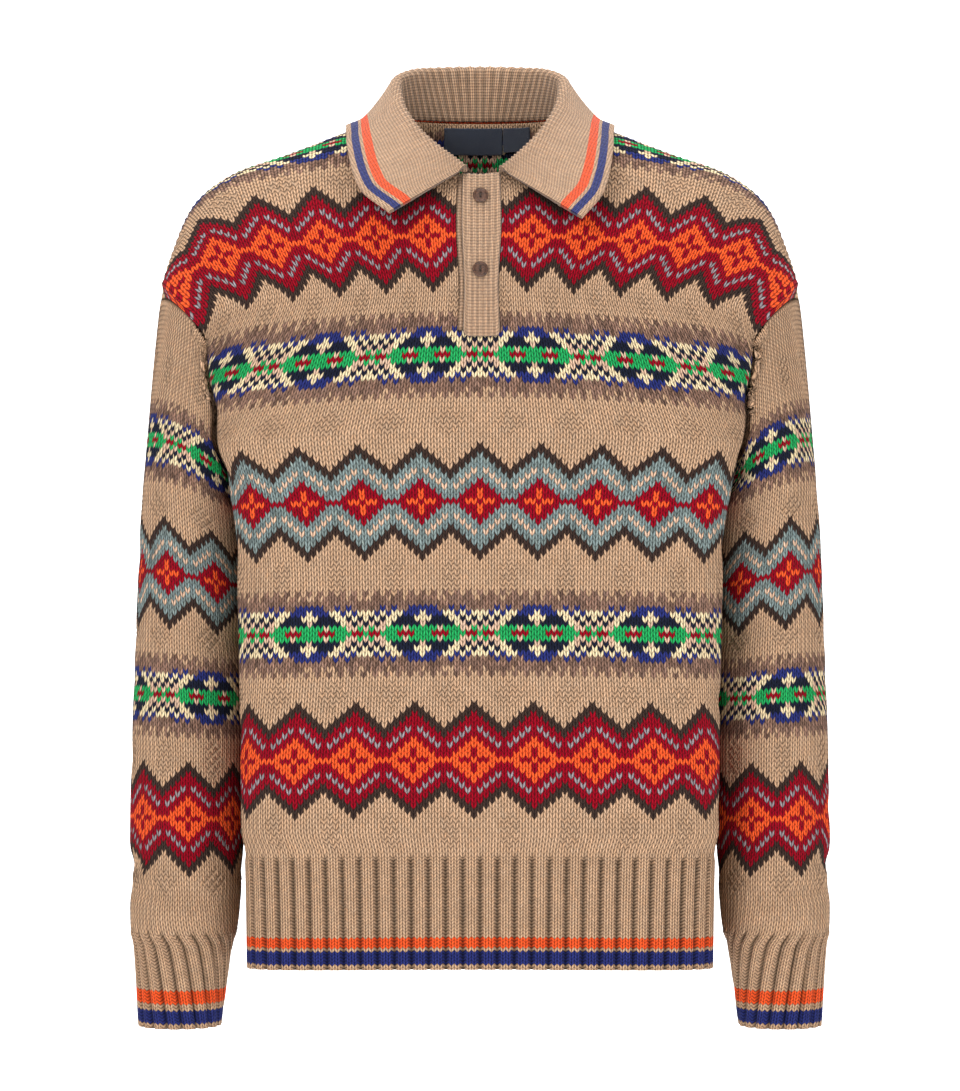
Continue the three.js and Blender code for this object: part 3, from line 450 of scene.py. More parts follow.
# A zigzag's ground, its flecks, and where its motif is orange, by rows and stitches from the middle.
ZIGZAGS = {
    "red": ("crimson", "fleck", {0: (0, 3, 4, 5), 1: (1, 2, 3), 2: (1, 2), 3: (0, 1), 4: (0,)}),
    "grey": ("grey", "pink", {0: (1, 2), 1: (0,), 2: (0,)}),
}
MOSS_ROWS = [28, 55, 78, 109, 132, 159]
MOSS_SLOPE = 1.5
MOSS_REACH = 3.9
UNEVEN_YARNS = {"grey": 0.16, "mauve": 0.24, "fleck": 0.1}
EVEN_YARN = 0.06
YARN_NAMES = list(YARNS)
draw = np.random.default_rng(11)


def to_linear(rgb):
    value = np.array(rgb, float) / 255
    return np.where(value <= 0.04045, value / 12.92, ((value + 0.055) / 1.055) ** 2.4)


YARN_COLOURS = np.array([to_linear(YARNS[name]) for name in YARN_NAMES])
YARN_SPREAD = np.array([UNEVEN_YARNS.get(name, EVEN_YARN) for name in YARN_NAMES])


def near_middle(across, period):
    """How many stitches each one is from the middle of its repeat."""
    half = period // 2
    return np.abs((across + half) % period - half)


def band_yarns(across, row, bands):
    """The yarn of each stitch, by its place across from the middle and its row."""
    yarn = np.zeros(across.shape, int)
    number = {name: i for i, name in enumerate(YARN_NAMES)}
    chance = draw.random(across.shape)
    for centre, kind, moved in bands:
        r = np.abs(row - centre)
        if kind == "oxo":
            o = OXO_PERIOD // 2 - near_middle(across + moved, OXO_PERIOD)
            for level, letters in enumerate(OXO_ROWS):
                codes = np.array([number[LETTERS[letter]] for letter in letters])
                yarn = np.where(r == level, codes[o], yarn)
            mottled = (r == 6) | ((r == 7) & (chance < MOTTLED_SHARE)) | ((r == 8) & (across % 2 == 0))
            yarn = np.where(mottled, number["mauve"], yarn)
            continue
        c = near_middle(across + moved, ZIGZAG_PERIOD)
        fill = ZIGZAG_HEIGHT - c
        flecked = (r == FLECK_HEIGHT - c) & (c >= 1) & (c <= HEART_REACH)
        yarn = np.where(r <= fill + ZIGZAG_EDGE, number["brown"], yarn)
        ground, fleck, motif = ZIGZAGS[kind]
        yarn = np.where(r <= fill, number[ground], yarn)
        yarn = np.where(flecked, number[fleck], yarn)
        if kind == "grey":
            yarn = np.where((c + r <= HEART_REACH) | (r == 0), number["crimson"], yarn)
        for level, places in motif.items():
            yarn = np.where((r == level) & np.isin(c, places), number["orange"], yarn)
    return yarn


def moss_stitches(across, row, centres):
    """Purl stitches in small diamonds, half way between the zigzags' points."""
    c = np.abs((across % ZIGZAG_PERIOD) - ZIGZAG_PERIOD // 2)
    r = np.min([np.abs(row - centre) for centre in centres], axis=0)
    return (MOSS_SLOPE * c + r <= MOSS_REACH) & ((across + row) % 2 == 0)


# A stripe is the height where it ends, from the edge up, and its yarn.
HEM_STRIPES = [(4.7, "tan"), (15.0, "royal"), (17.3, "tan"), (27.5, "orange")]


def stripe_yarns(yarn, distance, stripes):
    low = 0.0
    for high, name in stripes:
        yarn = np.where((distance >= low) & (distance < high), YARN_NAMES.index(name), yarn)
        low = high
    return yarn


def knit_grid(name, half_wales, courses):
    """A flat grid with two columns a stitch, and each corner's column and row."""
    mesh = bpy.data.meshes.new(name)
    bm = bmesh.new()
    bmesh.ops.create_grid(bm, x_segments=half_wales, y_segments=courses, size=1)
    bm.to_mesh(mesh)
    bm.free()
    flat = np.empty(len(mesh.vertices) * 3)
    mesh.vertices.foreach_get("co", flat)
    flat = flat.reshape(-1, 3)
    column = np.rint((flat[:, 0] + 1) / 2 * half_wales).astype(int)
    row = np.rint((flat[:, 1] + 1) / 2 * courses).astype(int)
    return mesh, column, row


def face_corners(mesh):
    corners = np.empty(len(mesh.loops), int)
    mesh.loops.foreach_get("vertex_index", corners)
    return corners.reshape(-1, 4)


DOUBLE = 2e-5
DEGENERATE = 1e-6


def knit_mesh(mesh, places, uv, colour, purl, painted_shade=None, drop_faces=None):
    """Places the grid's corners, gives them their yarn's colour, darkened by any painted shade, and closes
    up what the cut takes off.
    """
    mesh.vertices.foreach_set("co", (places * MM).ravel())
    corners = face_corners(mesh)
    layer = mesh.uv_layers.new(name="stitches")
    layer.data.foreach_set("uv", uv[corners.ravel()].ravel())
    yarn = mesh.color_attributes.new("yarn", "FLOAT_COLOR", "CORNER")
    each = np.repeat(np.concatenate((colour, purl[:, None]), axis=1), 4, axis=0)
    # Painted shade: where given, each corner's colour is darkened in the rib grooves and purl stitches.
    if painted_shade is not None:
        each[:, :3] *= painted_shade[corners.ravel()][:, None]
    yarn.data.foreach_set("color", each.ravel())
    bm = bmesh.new()
    bm.from_mesh(mesh)
    if drop_faces is not None:
        bm.faces.ensure_lookup_table()
        unwanted = [bm.faces[i] for i in np.flatnonzero(drop_faces)]
        bmesh.ops.delete(bm, geom=unwanted, context="FACES")
    bmesh.ops.remove_doubles(bm, verts=bm.verts[:], dist=DOUBLE)
    bmesh.ops.dissolve_degenerate(bm, edges=bm.edges[:], dist=DEGENERATE)
    bm.to_mesh(mesh)
    bm.free()
    mesh.shade_smooth()


SHADE_LIMITS = (0.5, 1.6)
WARMTH = 0.018


def yarn_shades(yarn):
    """Each leg's own shade: wool is spun a little unevenly, and the heathers more so."""
    colour = YARN_COLOURS[yarn]
    shade = np.clip(1 + draw.normal(0.0, 1.0, yarn.shape) * YARN_SPREAD[yarn], *SHADE_LIMITS)[:, None]
    warmth = draw.normal(0.0, WARMTH, yarn.shape)[:, None]
    return np.clip(colour * shade * (1 + warmth * np.array([1.0, 0.0, -1.0])), 0, 1)


STITCH_SOCKETS = [
    ("UV", "INPUT", "Vector"), ("Colour", "INPUT", "Color"), ("Purl", "INPUT", "Float"),
    ("Colour", "OUTPUT", "Color"), ("Height", "OUTPUT", "Float"),
]


def stitch_group():
    """One knitted stitch on a UV map in stitches: two twisted legs, or a purl bar, with painted shade
    between the legs.
    """
    group = bpy.data.node_groups.new("knit_stitch", "ShaderNodeTree")
    for name, way, kind in STITCH_SOCKETS:
        group.interface.new_socket(name, in_out=way, socket_type="NodeSocket" + kind)
    nodes = group.nodes
    links = group.links
    enter = nodes.new("NodeGroupInput")
    leave = nodes.new("NodeGroupOutput")

    def maths(operation, first, second=None, third=None):
        node = nodes.new("ShaderNodeMath")
        node.operation = operation
        for i, value in enumerate((first, second, third)):
            if value is None:
                continue
            if isinstance(value, (int, float)):
                node.inputs[i].default_value = value
            else:
                links.new(value, node.inputs[i])
        return node.outputs[0]

    split = nodes.new("ShaderNodeSeparateXYZ")
    links.new(enter.outputs["UV"], split.inputs[0])
    across = split.outputs["X"]
    along = split.outputs["Y"]
    leg = maths("FRACT", maths("MULTIPLY", across, 2.0))
    step = maths("FRACT", along)
    aside = maths("MULTIPLY_ADD", leg, 2.0, -1.0)
    length = maths("SINE", maths("MULTIPLY", step, math.pi))
    width = maths("MULTIPLY_ADD", length, 0.4, 0.62)
    ratio = maths("DIVIDE", aside, width)
    inside = maths("MAXIMUM", maths("SUBTRACT", 1.0, maths("MULTIPLY", ratio, ratio)), 0.0)
    round_leg = maths("SQRT", inside)
    plump = maths("MULTIPLY_ADD", maths("POWER", length, 0.5), 0.6, 0.4)
    knit = maths("MULTIPLY", round_leg, plump)
    bar = maths("POWER", length, 0.8)
    swell = maths("MULTIPLY_ADD", maths("COSINE", maths("MULTIPLY", across, 4 * math.pi)), 0.12, 0.8)
    purl = maths("MULTIPLY", bar, swell)
    mix = nodes.new("ShaderNodeMix")
    links.new(enter.outputs["Purl"], mix.inputs[0])
    links.new(knit, mix.inputs[2])
    links.new(purl, mix.inputs[3])
    stitch = mix.outputs[0]
    stretch = nodes.new("ShaderNodeVectorMath")
    stretch.operation = "MULTIPLY"
    stretch.inputs[1].default_value = (9.0, 3.2, 1.0)
    links.new(enter.outputs["UV"], stretch.inputs[0])
    fibre = set_inputs(nodes.new("ShaderNodeTexNoise"), {"Scale": 1.0, "Detail": 3.0})
    links.new(stretch.outputs[0], fibre.inputs["Vector"])
    patches = set_inputs(nodes.new("ShaderNodeTexNoise"), {"Scale": 0.16, "Detail": 2.0})
    links.new(enter.outputs["UV"], patches.inputs["Vector"])
    height = maths("MULTIPLY_ADD", fibre.outputs[0], 0.22, stitch)
    # Painted shade: the colour is darker where the stitch is low, between the legs and at their ends; the
    # fibre and patch noise vary the tone at random.
    painted_groove_shade = maths("MULTIPLY_ADD", stitch, 0.86, 0.3)
    soft = maths("MULTIPLY_ADD", fibre.outputs[0], 0.3, 0.85)
    worn = maths("MULTIPLY_ADD", patches.outputs[0], 0.22, 0.89)
    shade = maths("MULTIPLY", maths("MULTIPLY", painted_groove_shade, soft), worn)
    tint = nodes.new("ShaderNodeVectorMath")
    tint.operation = "SCALE"
    links.new(enter.outputs["Colour"], tint.inputs[0])
    links.new(shade, tint.inputs["Scale"])
    links.new(tint.outputs[0], leave.inputs["Colour"])
    links.new(height, leave.inputs["Height"])
    return group


KNIT_STITCH = stitch_group()


def wool_material(name, relief=0.0016, sheen=0.02):
    """Wool yarn, coloured stitch by stitch from the charts, with painted shade in the grooves between the
    legs.
    """
    material, nodes, links, shader = start_material(name)
    set_inputs(shader, {
        "Roughness": 0.95, "Specular IOR Level": 0.08, "Sheen Weight": sheen, "Sheen Roughness": 0.6,
    })
    uv = nodes.new("ShaderNodeUVMap")
    uv.uv_map = "stitches"
    yarn = nodes.new("ShaderNodeAttribute")
    yarn.attribute_name = "yarn"
    stitch = nodes.new("ShaderNodeGroup")
    stitch.node_tree = KNIT_STITCH
    bump = set_inputs(nodes.new("ShaderNodeBump"), {"Strength": 1.0, "Distance": relief})
    links.new(uv.outputs[0], stitch.inputs["UV"])
    links.new(yarn.outputs["Color"], stitch.inputs["Colour"])
    links.new(yarn.outputs["Alpha"], stitch.inputs["Purl"])
    links.new(stitch.outputs["Colour"], shader.inputs["Base Color"])
    links.new(stitch.outputs["Height"], bump.inputs["Height"])
    links.new(bump.outputs[0], shader.inputs["Normal"])
    return material


BODY_WOOL = wool_material("body_wool")

# How far out the cloth stands at each half stitch of a rib, and how dark its painted shade is there, deepest
# in the groove; the same for plain and purl knitting, where the sunk purl stitches get painted shade.
RIB_RELIEF = np.array([0.8, 1.2, 0.2, -3.2, 0.2, 1.2])
RIB_PAINTED_SHADE = np.array([1.0, 1.0, 0.86, 0.3, 0.86, 1.0])
PLAIN_RELIEF = np.array([-0.45, 0.35])
PURL_RELIEF = -1.0
PURL_PAINTED_SHADE = 0.86
SEAM_WIDTH = 2.5
# The stitches are wider in the middle of the hem, and narrower there at the chest.
WIDE_MIDDLE = ((167, 266, 484, 579), (1.08, 1.0, 1.0, 0.97))
# The cloth beside the neckline is plain tan, where the collar is sewn on.
NECK_LINK = 6.0


def cloth_relief(column, first_rib, purl, ribbed, from_seam):
    """How far out each corner stands and how dark its painted shade is, from plain knitting over into rib.
    """
    plain = np.where(purl & (column % 2 == 1), PURL_RELIEF, PLAIN_RELIEF[column % 2])
    rib = (column + first_rib) % 6
    relief = plain * (1 - ribbed) + RIB_RELIEF[rib] * ribbed
    # Painted shade: darkest in the rib's grooves, and a little darker on the sunk purl stitches.
    painted_shade = np.where(purl, PURL_PAINTED_SHADE, 1.0) * (1 - ribbed) + RIB_PAINTED_SHADE[rib] * ribbed
    return relief * (1 - np.exp(-(from_seam / SEAM_WIDTH) ** 2)), painted_shade


def stitch_cells(mesh, column, row):
    """Each face's corners, its stitch's column and its row."""
    corners = face_corners(mesh)
    return corners, column[corners].min(axis=1) // 2, row[corners].min(axis=1)


def finish_cloth(mesh, material, thickness, node):
    """Gives a sheet its wall, and puts it in the place of its solid."""
    mesh.materials.append(material)
    piece = add_object(mesh.name, mesh)
    wall = piece.modifiers.new("cloth", "SOLIDIFY")
    wall.thickness = thickness * MM
    wall.offset = -1.0
    wall.use_even_offset = False
    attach(piece, "root")
    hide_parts(node)
    return piece


def knit_panel(name):
    mirror = -PANELS[name]["side"]
    courses = math.ceil((NECK_HEIGHT - RIB_HEIGHT) / COURSE) + 1
    ribs = np.linspace(0, RIB_HEIGHT, RIB_ROWS, endpoint=False)
    levels = np.concatenate((ribs, RIB_HEIGHT + COURSE * np.arange(courses + 1)))
    numbers = np.arange(len(levels))
    mesh, column, row = knit_grid(name + "_knit", 2 * WALES, len(levels) - 1)
    wale = column / 2
    share = wale / WALES * 2 - 1
    wide = np.interp(levels[row], *WIDE_MIDDLE)
    u = mirror * (wide * share + (1 - wide) * share ** 5)
    dropped = np.where(column % 2 == 1, LEG_DROP, 0.0)
    height = np.minimum(np.interp(row - dropped, numbers, levels), top_height(name, u))
    places, out = panel_cloth(name, u, height)
    middle = (WALES - 1) // 2
    across = column // 2 - middle
    purl = moss_stitches(across, np.floor(levels[row] / COURSE + 0.5).astype(int), MOSS_ROWS)
    ribbed = np.clip((RIB_ROWS + 1 - row) / 2, 0, 1)
    from_seam = np.minimum((1 - np.abs(u)) * HALF_PANEL, top_height(name, u) - height)
    # The ribs' grooves and the purl stitches get painted shade.
    relief, painted_shade = cloth_relief(column, 0, purl, ribbed, from_seam)
    places = places + out * relief[:, None]
    uv = np.stack((wale, np.interp(height, levels, numbers) + dropped), axis=1)
    corners, face_column, face_row = stitch_cells(mesh, column, row)
    face_height = (levels[face_row] + levels[face_row + 1]) / 2
    face_across = face_column - middle
    chart_row = np.floor(face_height / COURSE).astype(int)
    yarn = band_yarns(face_across, chart_row, BODY_BANDS[name])
    yarn = stripe_yarns(yarn, face_height, HEM_STRIPES)
    face_u = u[corners].mean(axis=1)
    linked = (top_height(name, face_u) - face_height < NECK_LINK) & (np.abs(face_u) < NECK_SHARE)
    yarn = np.where(linked, YARN_NAMES.index("tan"), yarn)
    moss = moss_stitches(face_across, chart_row, MOSS_ROWS)
    face_purl = np.where(face_row < RIB_ROWS, face_column % 3 == 1, moss).astype(float)
    in_slot = None
    if name == "front":
        in_slot = (face_column >= SLOT_WALES[0]) & (face_column < SLOT_WALES[1])
        in_slot = in_slot & (face_height > SLOT_BOTTOM)
    knit_mesh(mesh, places, uv, yarn_shades(yarn), face_purl, painted_shade, in_slot)
    return finish_cloth(mesh, BODY_WOOL, CLOTH_THICKNESS, name)


front_knit = knit_panel("front")

# Back panel: a wool panel knitted from the hem up as the front is, with the
# same ribs and much the same bands, a shallow neck and no opening.
back_knit = knit_panel("back")

# Sleeves: knitted as the body is, in one piece each, sewn to the dropped
# armhole and closed by a seam under the arm, where they narrow towards the
# ribbed cuff.
SLEEVE_LEVELS = table(["z", "outer", "inner", "front", "back"], [
    [-715, 275, 210, -42, 30], [-650, 279.5, 201, -44, 42], [-636, 282.5, 196.5, -48, 47],
    [-600, 283.5, 193.5, -44, 55], [-560, 284, 192, -39, 62], [-500, 283, 190, -37, 66],
    [-440, 281, 189, -41, 68], [-373, 278.3, 189, -46, 70], [-307, 275, 190, -54, 74],
    [-242, 270, 190, -60, 84], [-177, 265, 190, -64, 92], [-120, 258, 190, -66, 96],
])
SLEEVE_POWER = 2.15
SLEEVE_TOP = -121.0
SLEEVE_LENGTH = 594.0
CUFF_TOP = 517.0
CUFF_ROWS = 29
SLEEVE_ROWS = 130
SLEEVE_DROPS = np.concatenate((
    np.linspace(0, CUFF_TOP, SLEEVE_ROWS, endpoint=False),
    np.linspace(CUFF_TOP, SLEEVE_LENGTH, CUFF_ROWS + 1),
))
SLEEVE_WALE = 4.25
SLEEVE_HALF_WALES = 62
LEVELLING = 150.0
CAP_BLEND = 90.0
FRONT_TURN = 200.0
SLEEVE_CLEARANCE = 4.5
ARMHOLE_ROWS = [423, 450, 477, 501, 540, 579, 600, 621, 642, 663]
TURNS = np.linspace(0, 360, 241)
SLEEVE_BANDS = {
    1: [(29, "oxo", 0), (56, "grey", 5), (81, "oxo", 6), (106, "red", -1)],
    -1: [(29, "oxo", 0), (56, "grey", 3), (81, "oxo", 5), (106, "red", 0)],
}
SLEEVE_MOSS = [14, 43, 69, 94, 119]
SLEEVE_PHASE = {1: 4, -1: -4}
CUFF_STRIPES = [(5.7, "tan"), (16.3, "royal"), (20.4, "tan"), (32.6, "orange")]
# Both sleeves have the main creases, and each has small ones of its own.
MAIN_SLEEVE_FOLDS = [
    [0.3, 108, 30, 0.16, 8, 5],
    [0.42, 132, -45, 0.15, 9, 4.5],
    [0.2, 150, 40, 0.13, 9, 4],
    [0.75, 118, 30, 0.2, 9, 4.5],
    [0.28, 268, 60, 0.15, 12, 4],
    [0.22, 330, 70, 0.15, 12, 3.5],
    [0.75, 300, -50, 0.2, 12, 3.5],
]
SLEEVE_FOLDS = {
    1: table(FOLD, MAIN_SLEEVE_FOLDS + [
        [0.33, 205, -35, 0.12, 10, 2.2],
        [0.3, 410, 80, 0.12, 13, 2.4],
        [0.14, 470, 110, 0.1, 12, 3],
        [0.6, 180, 40, 0.14, 10, 2.6],
        [0.68, 420, -70, 0.14, 12, 2.8],
    ]),
    -1: table(FOLD, MAIN_SLEEVE_FOLDS + [
        [0.26, 220, 45, 0.13, 9, 2.4],
        [0.36, 385, -60, 0.12, 12, 2.2],
        [0.12, 455, 120, 0.1, 11, 3.2],
        [0.62, 210, -30, 0.14, 11, 2.6],
        [0.7, 400, 60, 0.14, 13, 2.6],
    ]),
}
SLEEVE_SIDE = 228.0
SEAM_HOLD = 40.0
CUFF_HOLD = 15.0
TREE_COLUMNS = 113
TREE_ROWS = 100
CLEAR_RANGE = 60.0


def body_tree():
    """The body's smooth cloth as a search tree, to keep other pieces off it."""
    places = []
    faces = []
    for name in ("front", "back"):
        columns = np.linspace(-1, 1, TREE_COLUMNS) * -PANELS[name]["side"]
        rise = np.linspace(0, 1, TREE_ROWS)
        u = np.tile(columns, len(rise))
        height = np.repeat(rise, len(columns)) * top_height(name, u)
        cloth = panel_cloth(name, u, height)[0]
        first = len(places)
        places.extend(Vector(place) for place in cloth)
        for j in range(len(rise) - 1):
            for i in range(len(columns) - 1):
                a = first + j * len(columns) + i
                faces.append((a, a + 1, a + 1 + len(columns), a + len(columns)))
    return BVHTree.FromPolygons(places, faces)


BODY = body_tree()


def keep_clear(places, clearance, passes=4):
    """Moves points out from the nearest cloth of the body until they clear it."""
    clear = np.broadcast_to(clearance, len(places))
    moved = places.copy()
    for i, place in enumerate(places):
        point = Vector(place)
        for _ in range(passes):
            seat, normal, _, _ = BODY.find_nearest(point, CLEAR_RANGE)
            if seat is None:
                break
            height = (point - seat).dot(normal)
            if height >= clear[i]:
                break
            point += normal * (clear[i] - height)
        moved[i] = point
    return moved


def armhole_ring():
    ahead = TURNS <= FRONT_TURN
    part = np.where(ahead, TURNS / FRONT_TURN, (360 - TURNS) / (360 - FRONT_TURN))
    height = np.interp(part, np.linspace(0, 1, len(ARMHOLE_ROWS)), ARMHOLE_ROWS)
    share = (height - ARMPIT_HEIGHT) / ARMHOLE_DEPTH
    front = along_curve(ARMHOLES["front"], share)
    return np.where(ahead, front, along_curve(ARMHOLES["back"], share))


def sleeve_level(z):
    level = {key: column_at(SLEEVE_LEVELS, "z", key, z) for key in ("outer", "inner", "front", "back")}
    angle = np.radians(180 + TURNS)
    squared = [np.sign(v) * np.abs(v) ** (2 / SLEEVE_POWER) for v in (np.cos(angle), np.sin(angle))]
    x = (level["outer"] + level["inner"]) / 2 + (level["outer"] - level["inner"]) / 2 * squared[0]
    y = (level["front"] + level["back"]) / 2 + (level["back"] - level["front"]) / 2 * squared[1]
    return x, y


def sleeve_rings(side):
    """Rings of smooth cloth down the sleeve, and the ways out from them."""
    start = armhole_ring()
    start_x, start_y = sleeve_level(start[2])
    rings = []
    for drop in SLEEVE_DROPS:
        levelling = math.exp(-drop / LEVELLING) * (1 - drop / SLEEVE_LENGTH)
        z = SLEEVE_TOP - drop + (start[2] - SLEEVE_TOP) * levelling
        hold = math.exp(-(drop / CAP_BLEND) ** 2)
        x, y = sleeve_level(z)
        x = x + (start[0] - start_x) * hold
        y = y + (start[1] - start_y) * hold
        ring = np.stack((side * x, y, z), axis=1)
        near = np.abs(ring[:, 0]) < SLEEVE_SIDE
        ring[near] = keep_clear(ring[near], min(SLEEVE_CLEARANCE, 0.5 * drop))
        rings.append(ring)
    rings = np.array(rings)
    down = np.gradient(rings, axis=0)
    round_arm = np.gradient(rings, axis=1)
    ends = (rings[:, 1] - rings[:, -2]) / 2
    round_arm[:, 0] = ends
    round_arm[:, -1] = ends
    out = np.cross(down, round_arm)
    out /= np.maximum(np.linalg.norm(out, axis=2), 1e-9)[:, :, None]
    middle = rings.mean(axis=1)[:, None, :]
    inward = ((rings - middle) * out).sum(axis=2).mean() < 0
    return rings, -out if inward else out


def sleeve_knit(side, name):
    rings, out = sleeve_rings(side)
    last = len(SLEEVE_DROPS) - 1
    numbers = np.arange(last + 1)
    mesh, column, row = knit_grid(name + "_knit", 4 * SLEEVE_HALF_WALES, last)
    wale = column / 2 - SLEEVE_HALF_WALES
    arc = side * wale * SLEEVE_WALE
    steps = np.linalg.norm(np.diff(rings, axis=1), axis=2)
    lengths = np.concatenate((np.zeros((len(rings), 1)), np.cumsum(steps, axis=1)), axis=1)
    outer = np.argmin(np.abs(TURNS - FRONT_TURN))
    channels = np.concatenate((rings, out, np.broadcast_to(TURNS, rings.shape[:2])[:, :, None]), axis=2)

    def sample(level, arc):
        goal = lengths[level, outer] - arc
        held = np.clip(goal, 0, lengths[level, -1])
        found = [np.interp(held, lengths[level], channel) for channel in channels[level].T]
        return np.stack(found, axis=1), lengths[level, outer] - held

    found = np.empty((len(row), 7))
    held = np.empty(len(row))
    for level in numbers:
        here = row == level
        low, low_arc = sample(level, arc[here])
        high, high_arc = sample(min(level + 1, last), arc[here])
        part = np.where(column[here] % 2 == 1, LEG_DROP, 0.0)
        found[here] = low + (high - low) * part[:, None]
        held[here] = low_arc + (high_arc - low_arc) * part
    drop = np.interp(row + np.where(column % 2 == 1, LEG_DROP, 0.0), numbers, SLEEVE_DROPS)
    places = found[:, :3]
    ways = unit(found[:, 3:6])
    above = SLEEVE_LENGTH - drop
    share = found[:, 6] / 360
    free = (1 - np.exp(-(drop / SEAM_HOLD) ** 2)) * np.clip((CUFF_TOP - drop) / CUFF_HOLD, 0, 1)
    depth = free * fold_depth(SLEEVE_FOLDS[side], share, above, turns=True)
    across = (column // 2 - SLEEVE_HALF_WALES) * side + SLEEVE_PHASE[side]
    purl = moss_stitches(across, np.floor(SLEEVE_DROPS[row] / COURSE + 0.5).astype(int), SLEEVE_MOSS)
    ribbed = np.clip((row - SLEEVE_ROWS + 1) / 2, 0, 1)
    seam = np.minimum(lengths[row, outer] - held, held - (lengths[row, outer] - lengths[row, -1]))
    # The ribs' grooves and the purl stitches get painted shade.
    relief, painted_shade = cloth_relief(column, 3, purl, ribbed, np.minimum(np.abs(seam), drop))
    places = places + ways * (relief - depth)[:, None]
    uv = np.stack((held / SLEEVE_WALE, row.astype(float)), axis=1)
    _, face_column, face_row = stitch_cells(mesh, column, row)
    face_drop = (SLEEVE_DROPS[face_row] + SLEEVE_DROPS[face_row + 1]) / 2
    face_across = (face_column - SLEEVE_HALF_WALES) * side + SLEEVE_PHASE[side]
    chart_row = np.floor(face_drop / COURSE).astype(int)
    yarn = band_yarns(face_across, chart_row, SLEEVE_BANDS[side])
    yarn = stripe_yarns(yarn, SLEEVE_LENGTH - face_drop, CUFF_STRIPES)
    moss = moss_stitches(face_across, chart_row, SLEEVE_MOSS)
    face_purl = np.where(face_row >= SLEEVE_ROWS, face_column % 3 == 0, moss).astype(float)
    knit_mesh(mesh, places, uv, yarn_shades(yarn), face_purl, painted_shade)
    return finish_cloth(mesh, BODY_WOOL, CLOTH_THICKNESS, name)


for side, name in ((1, "sleeve_left"), (-1, "sleeve_right")):
    sleeve = sleeve_knit(side, name)

# Plackets: two narrow bands of fine rib. The under one fills the slot, and
# the top one lies over it and is sewn down at its foot. Its free edge is on
# the wearer's right.
PLACKET = {"left": -14.2, "right": 17.3, "bottom": 497.0, "lift": 0.5, "corner": 5.0}
UNDER = {"left": -21.2, "right": 6.5, "bottom": 501.8, "lift": -1.3, "corner": 0.0}
PLACKET_TOP = 625.0
PLACKET_WALE = 2.4
PLACKET_COURSE = 2.4
PLACKET_WALL = 2.6
PLACKET_RIB = 0.75
PLACKET_EDGE = {"drop": 0.9, "width": 1.2}
# Painted shade: how much darker the fine rib's grooves are painted.
PAINTED_GROOVE_SHADE = 0.72
PLACKET_NECK_PLAY = 2.4
TRIM_WOOL = wool_material("trim_wool", relief=0.0007, sheen=0.2)


def painted_groove_faces(mesh, column):
    """Which faces lie in the grooves of the fine rib, two half stitches in every four, where shade is
    painted.
    """
    face_column = column[face_corners(mesh)].min(axis=1)
    return (face_column % 4 == 1) | (face_column % 4 == 2)


def placket_knit(name, size, wall):
    half_wales = 2 * round((size["right"] - size["left"]) / PLACKET_WALE)
    courses = round((PLACKET_TOP - size["bottom"]) / PLACKET_COURSE)
    mesh, column, row = knit_grid(name + "_knit", half_wales, courses)
    x = size["left"] + (size["right"] - size["left"]) * column / half_wales
    u = x / HALF_PANEL
    corner = size["corner"]
    from_side = np.minimum(np.minimum(x - size["left"], size["right"] - x), corner)
    bottom = size["bottom"] + corner - np.sqrt(np.maximum(corner ** 2 - (corner - from_side) ** 2, 0))
    top = top_height("front", u) - PLACKET_NECK_PLAY
    height = bottom + (top - bottom) * row / courses
    places, out = panel_cloth("front", u, height)
    rib = PLACKET_RIB * np.cos(math.pi * column / 2)
    edge = np.minimum(np.minimum(x - size["left"], size["right"] - x), height - bottom)
    rounding = PLACKET_EDGE["drop"] * np.exp(-(edge / PLACKET_EDGE["width"]) ** 2)
    places = places + out * (size["lift"] + wall + rib - rounding)[:, None]
    uv = np.stack((column / 2, row.astype(float)), axis=1)
    faces = len(mesh.polygons)
    # Painted shade: the rib's grooves are painted darker.
    shade = np.where(painted_groove_faces(mesh, column), PAINTED_GROOVE_SHADE, 1.0)
    knit_mesh(mesh, places, uv, yarn_shades(np.zeros(faces, int)) * shade[:, None], np.zeros(faces))
    return finish_cloth(mesh, TRIM_WOOL, PLACKET_WALL, name)


placket_top_knit = placket_knit("placket_top", PLACKET, PLACKET_WALL)
placket_under_knit = placket_knit("placket_under", UNDER, 0.0)

# Collar: one strip of fine rib, sewn to the neckline, that stands up, rolls
# over and falls onto the shoulders. Two stripes run beside its outer edge.
COLLAR_COLUMNS = ["share", "foldX", "foldY", "foldZ", "edgeX", "edgeY", "edgeZ"]
COLLAR_STATIONS = {
    -1: table(COLLAR_COLUMNS, [
        [0, -11, -77, -27, -71, -104, -67],
        [0.16, -27, -70, -15, -95, -88, -46],
        [0.34, -47, -55, 4, -104, -60, -20],
        [0.52, -61, -28, 28, -107, -24, -1],
        [0.68, -65, 6, 50, -106, 16, 8],
        [0.84, -45, 44, 63, -76, 66, 10],
        [1, 0, 60, 66, 0, 94, 6],
    ]),
    1: table(COLLAR_COLUMNS, [
        [0, 16, -77, -28, 80, -102, -71],
        [0.16, 30, -70, -16, 98, -86, -48],
        [0.34, 48, -55, 4, 105, -60, -20],
        [0.52, 61, -28, 28, 107, -24, -1],
        [0.68, 65, 6, 50, 107, 16, 8],
        [0.84, 45, 44, 63, 76, 66, 10],
        [1, 0, 60, 66, 0, 94, 6],
    ]),
}
COLLAR_ENDS = {-1: -11.0, 1: 16.0}
COLLAR_WALL = 3.0
COLLAR_ROLL = 4.0
COLLAR_SEAT = 1.6
COLLAR_REST = 2.6
COLLAR_BOW = 2.2
COLLAR_PASSES = 3
ROLL_SHARE = 0.45
ROLL_TURN = 0.9 * math.pi
NECKLINE_STEPS = 600
JUST_INSIDE = 0.9999
COLLAR_HALF_COLUMNS = 160
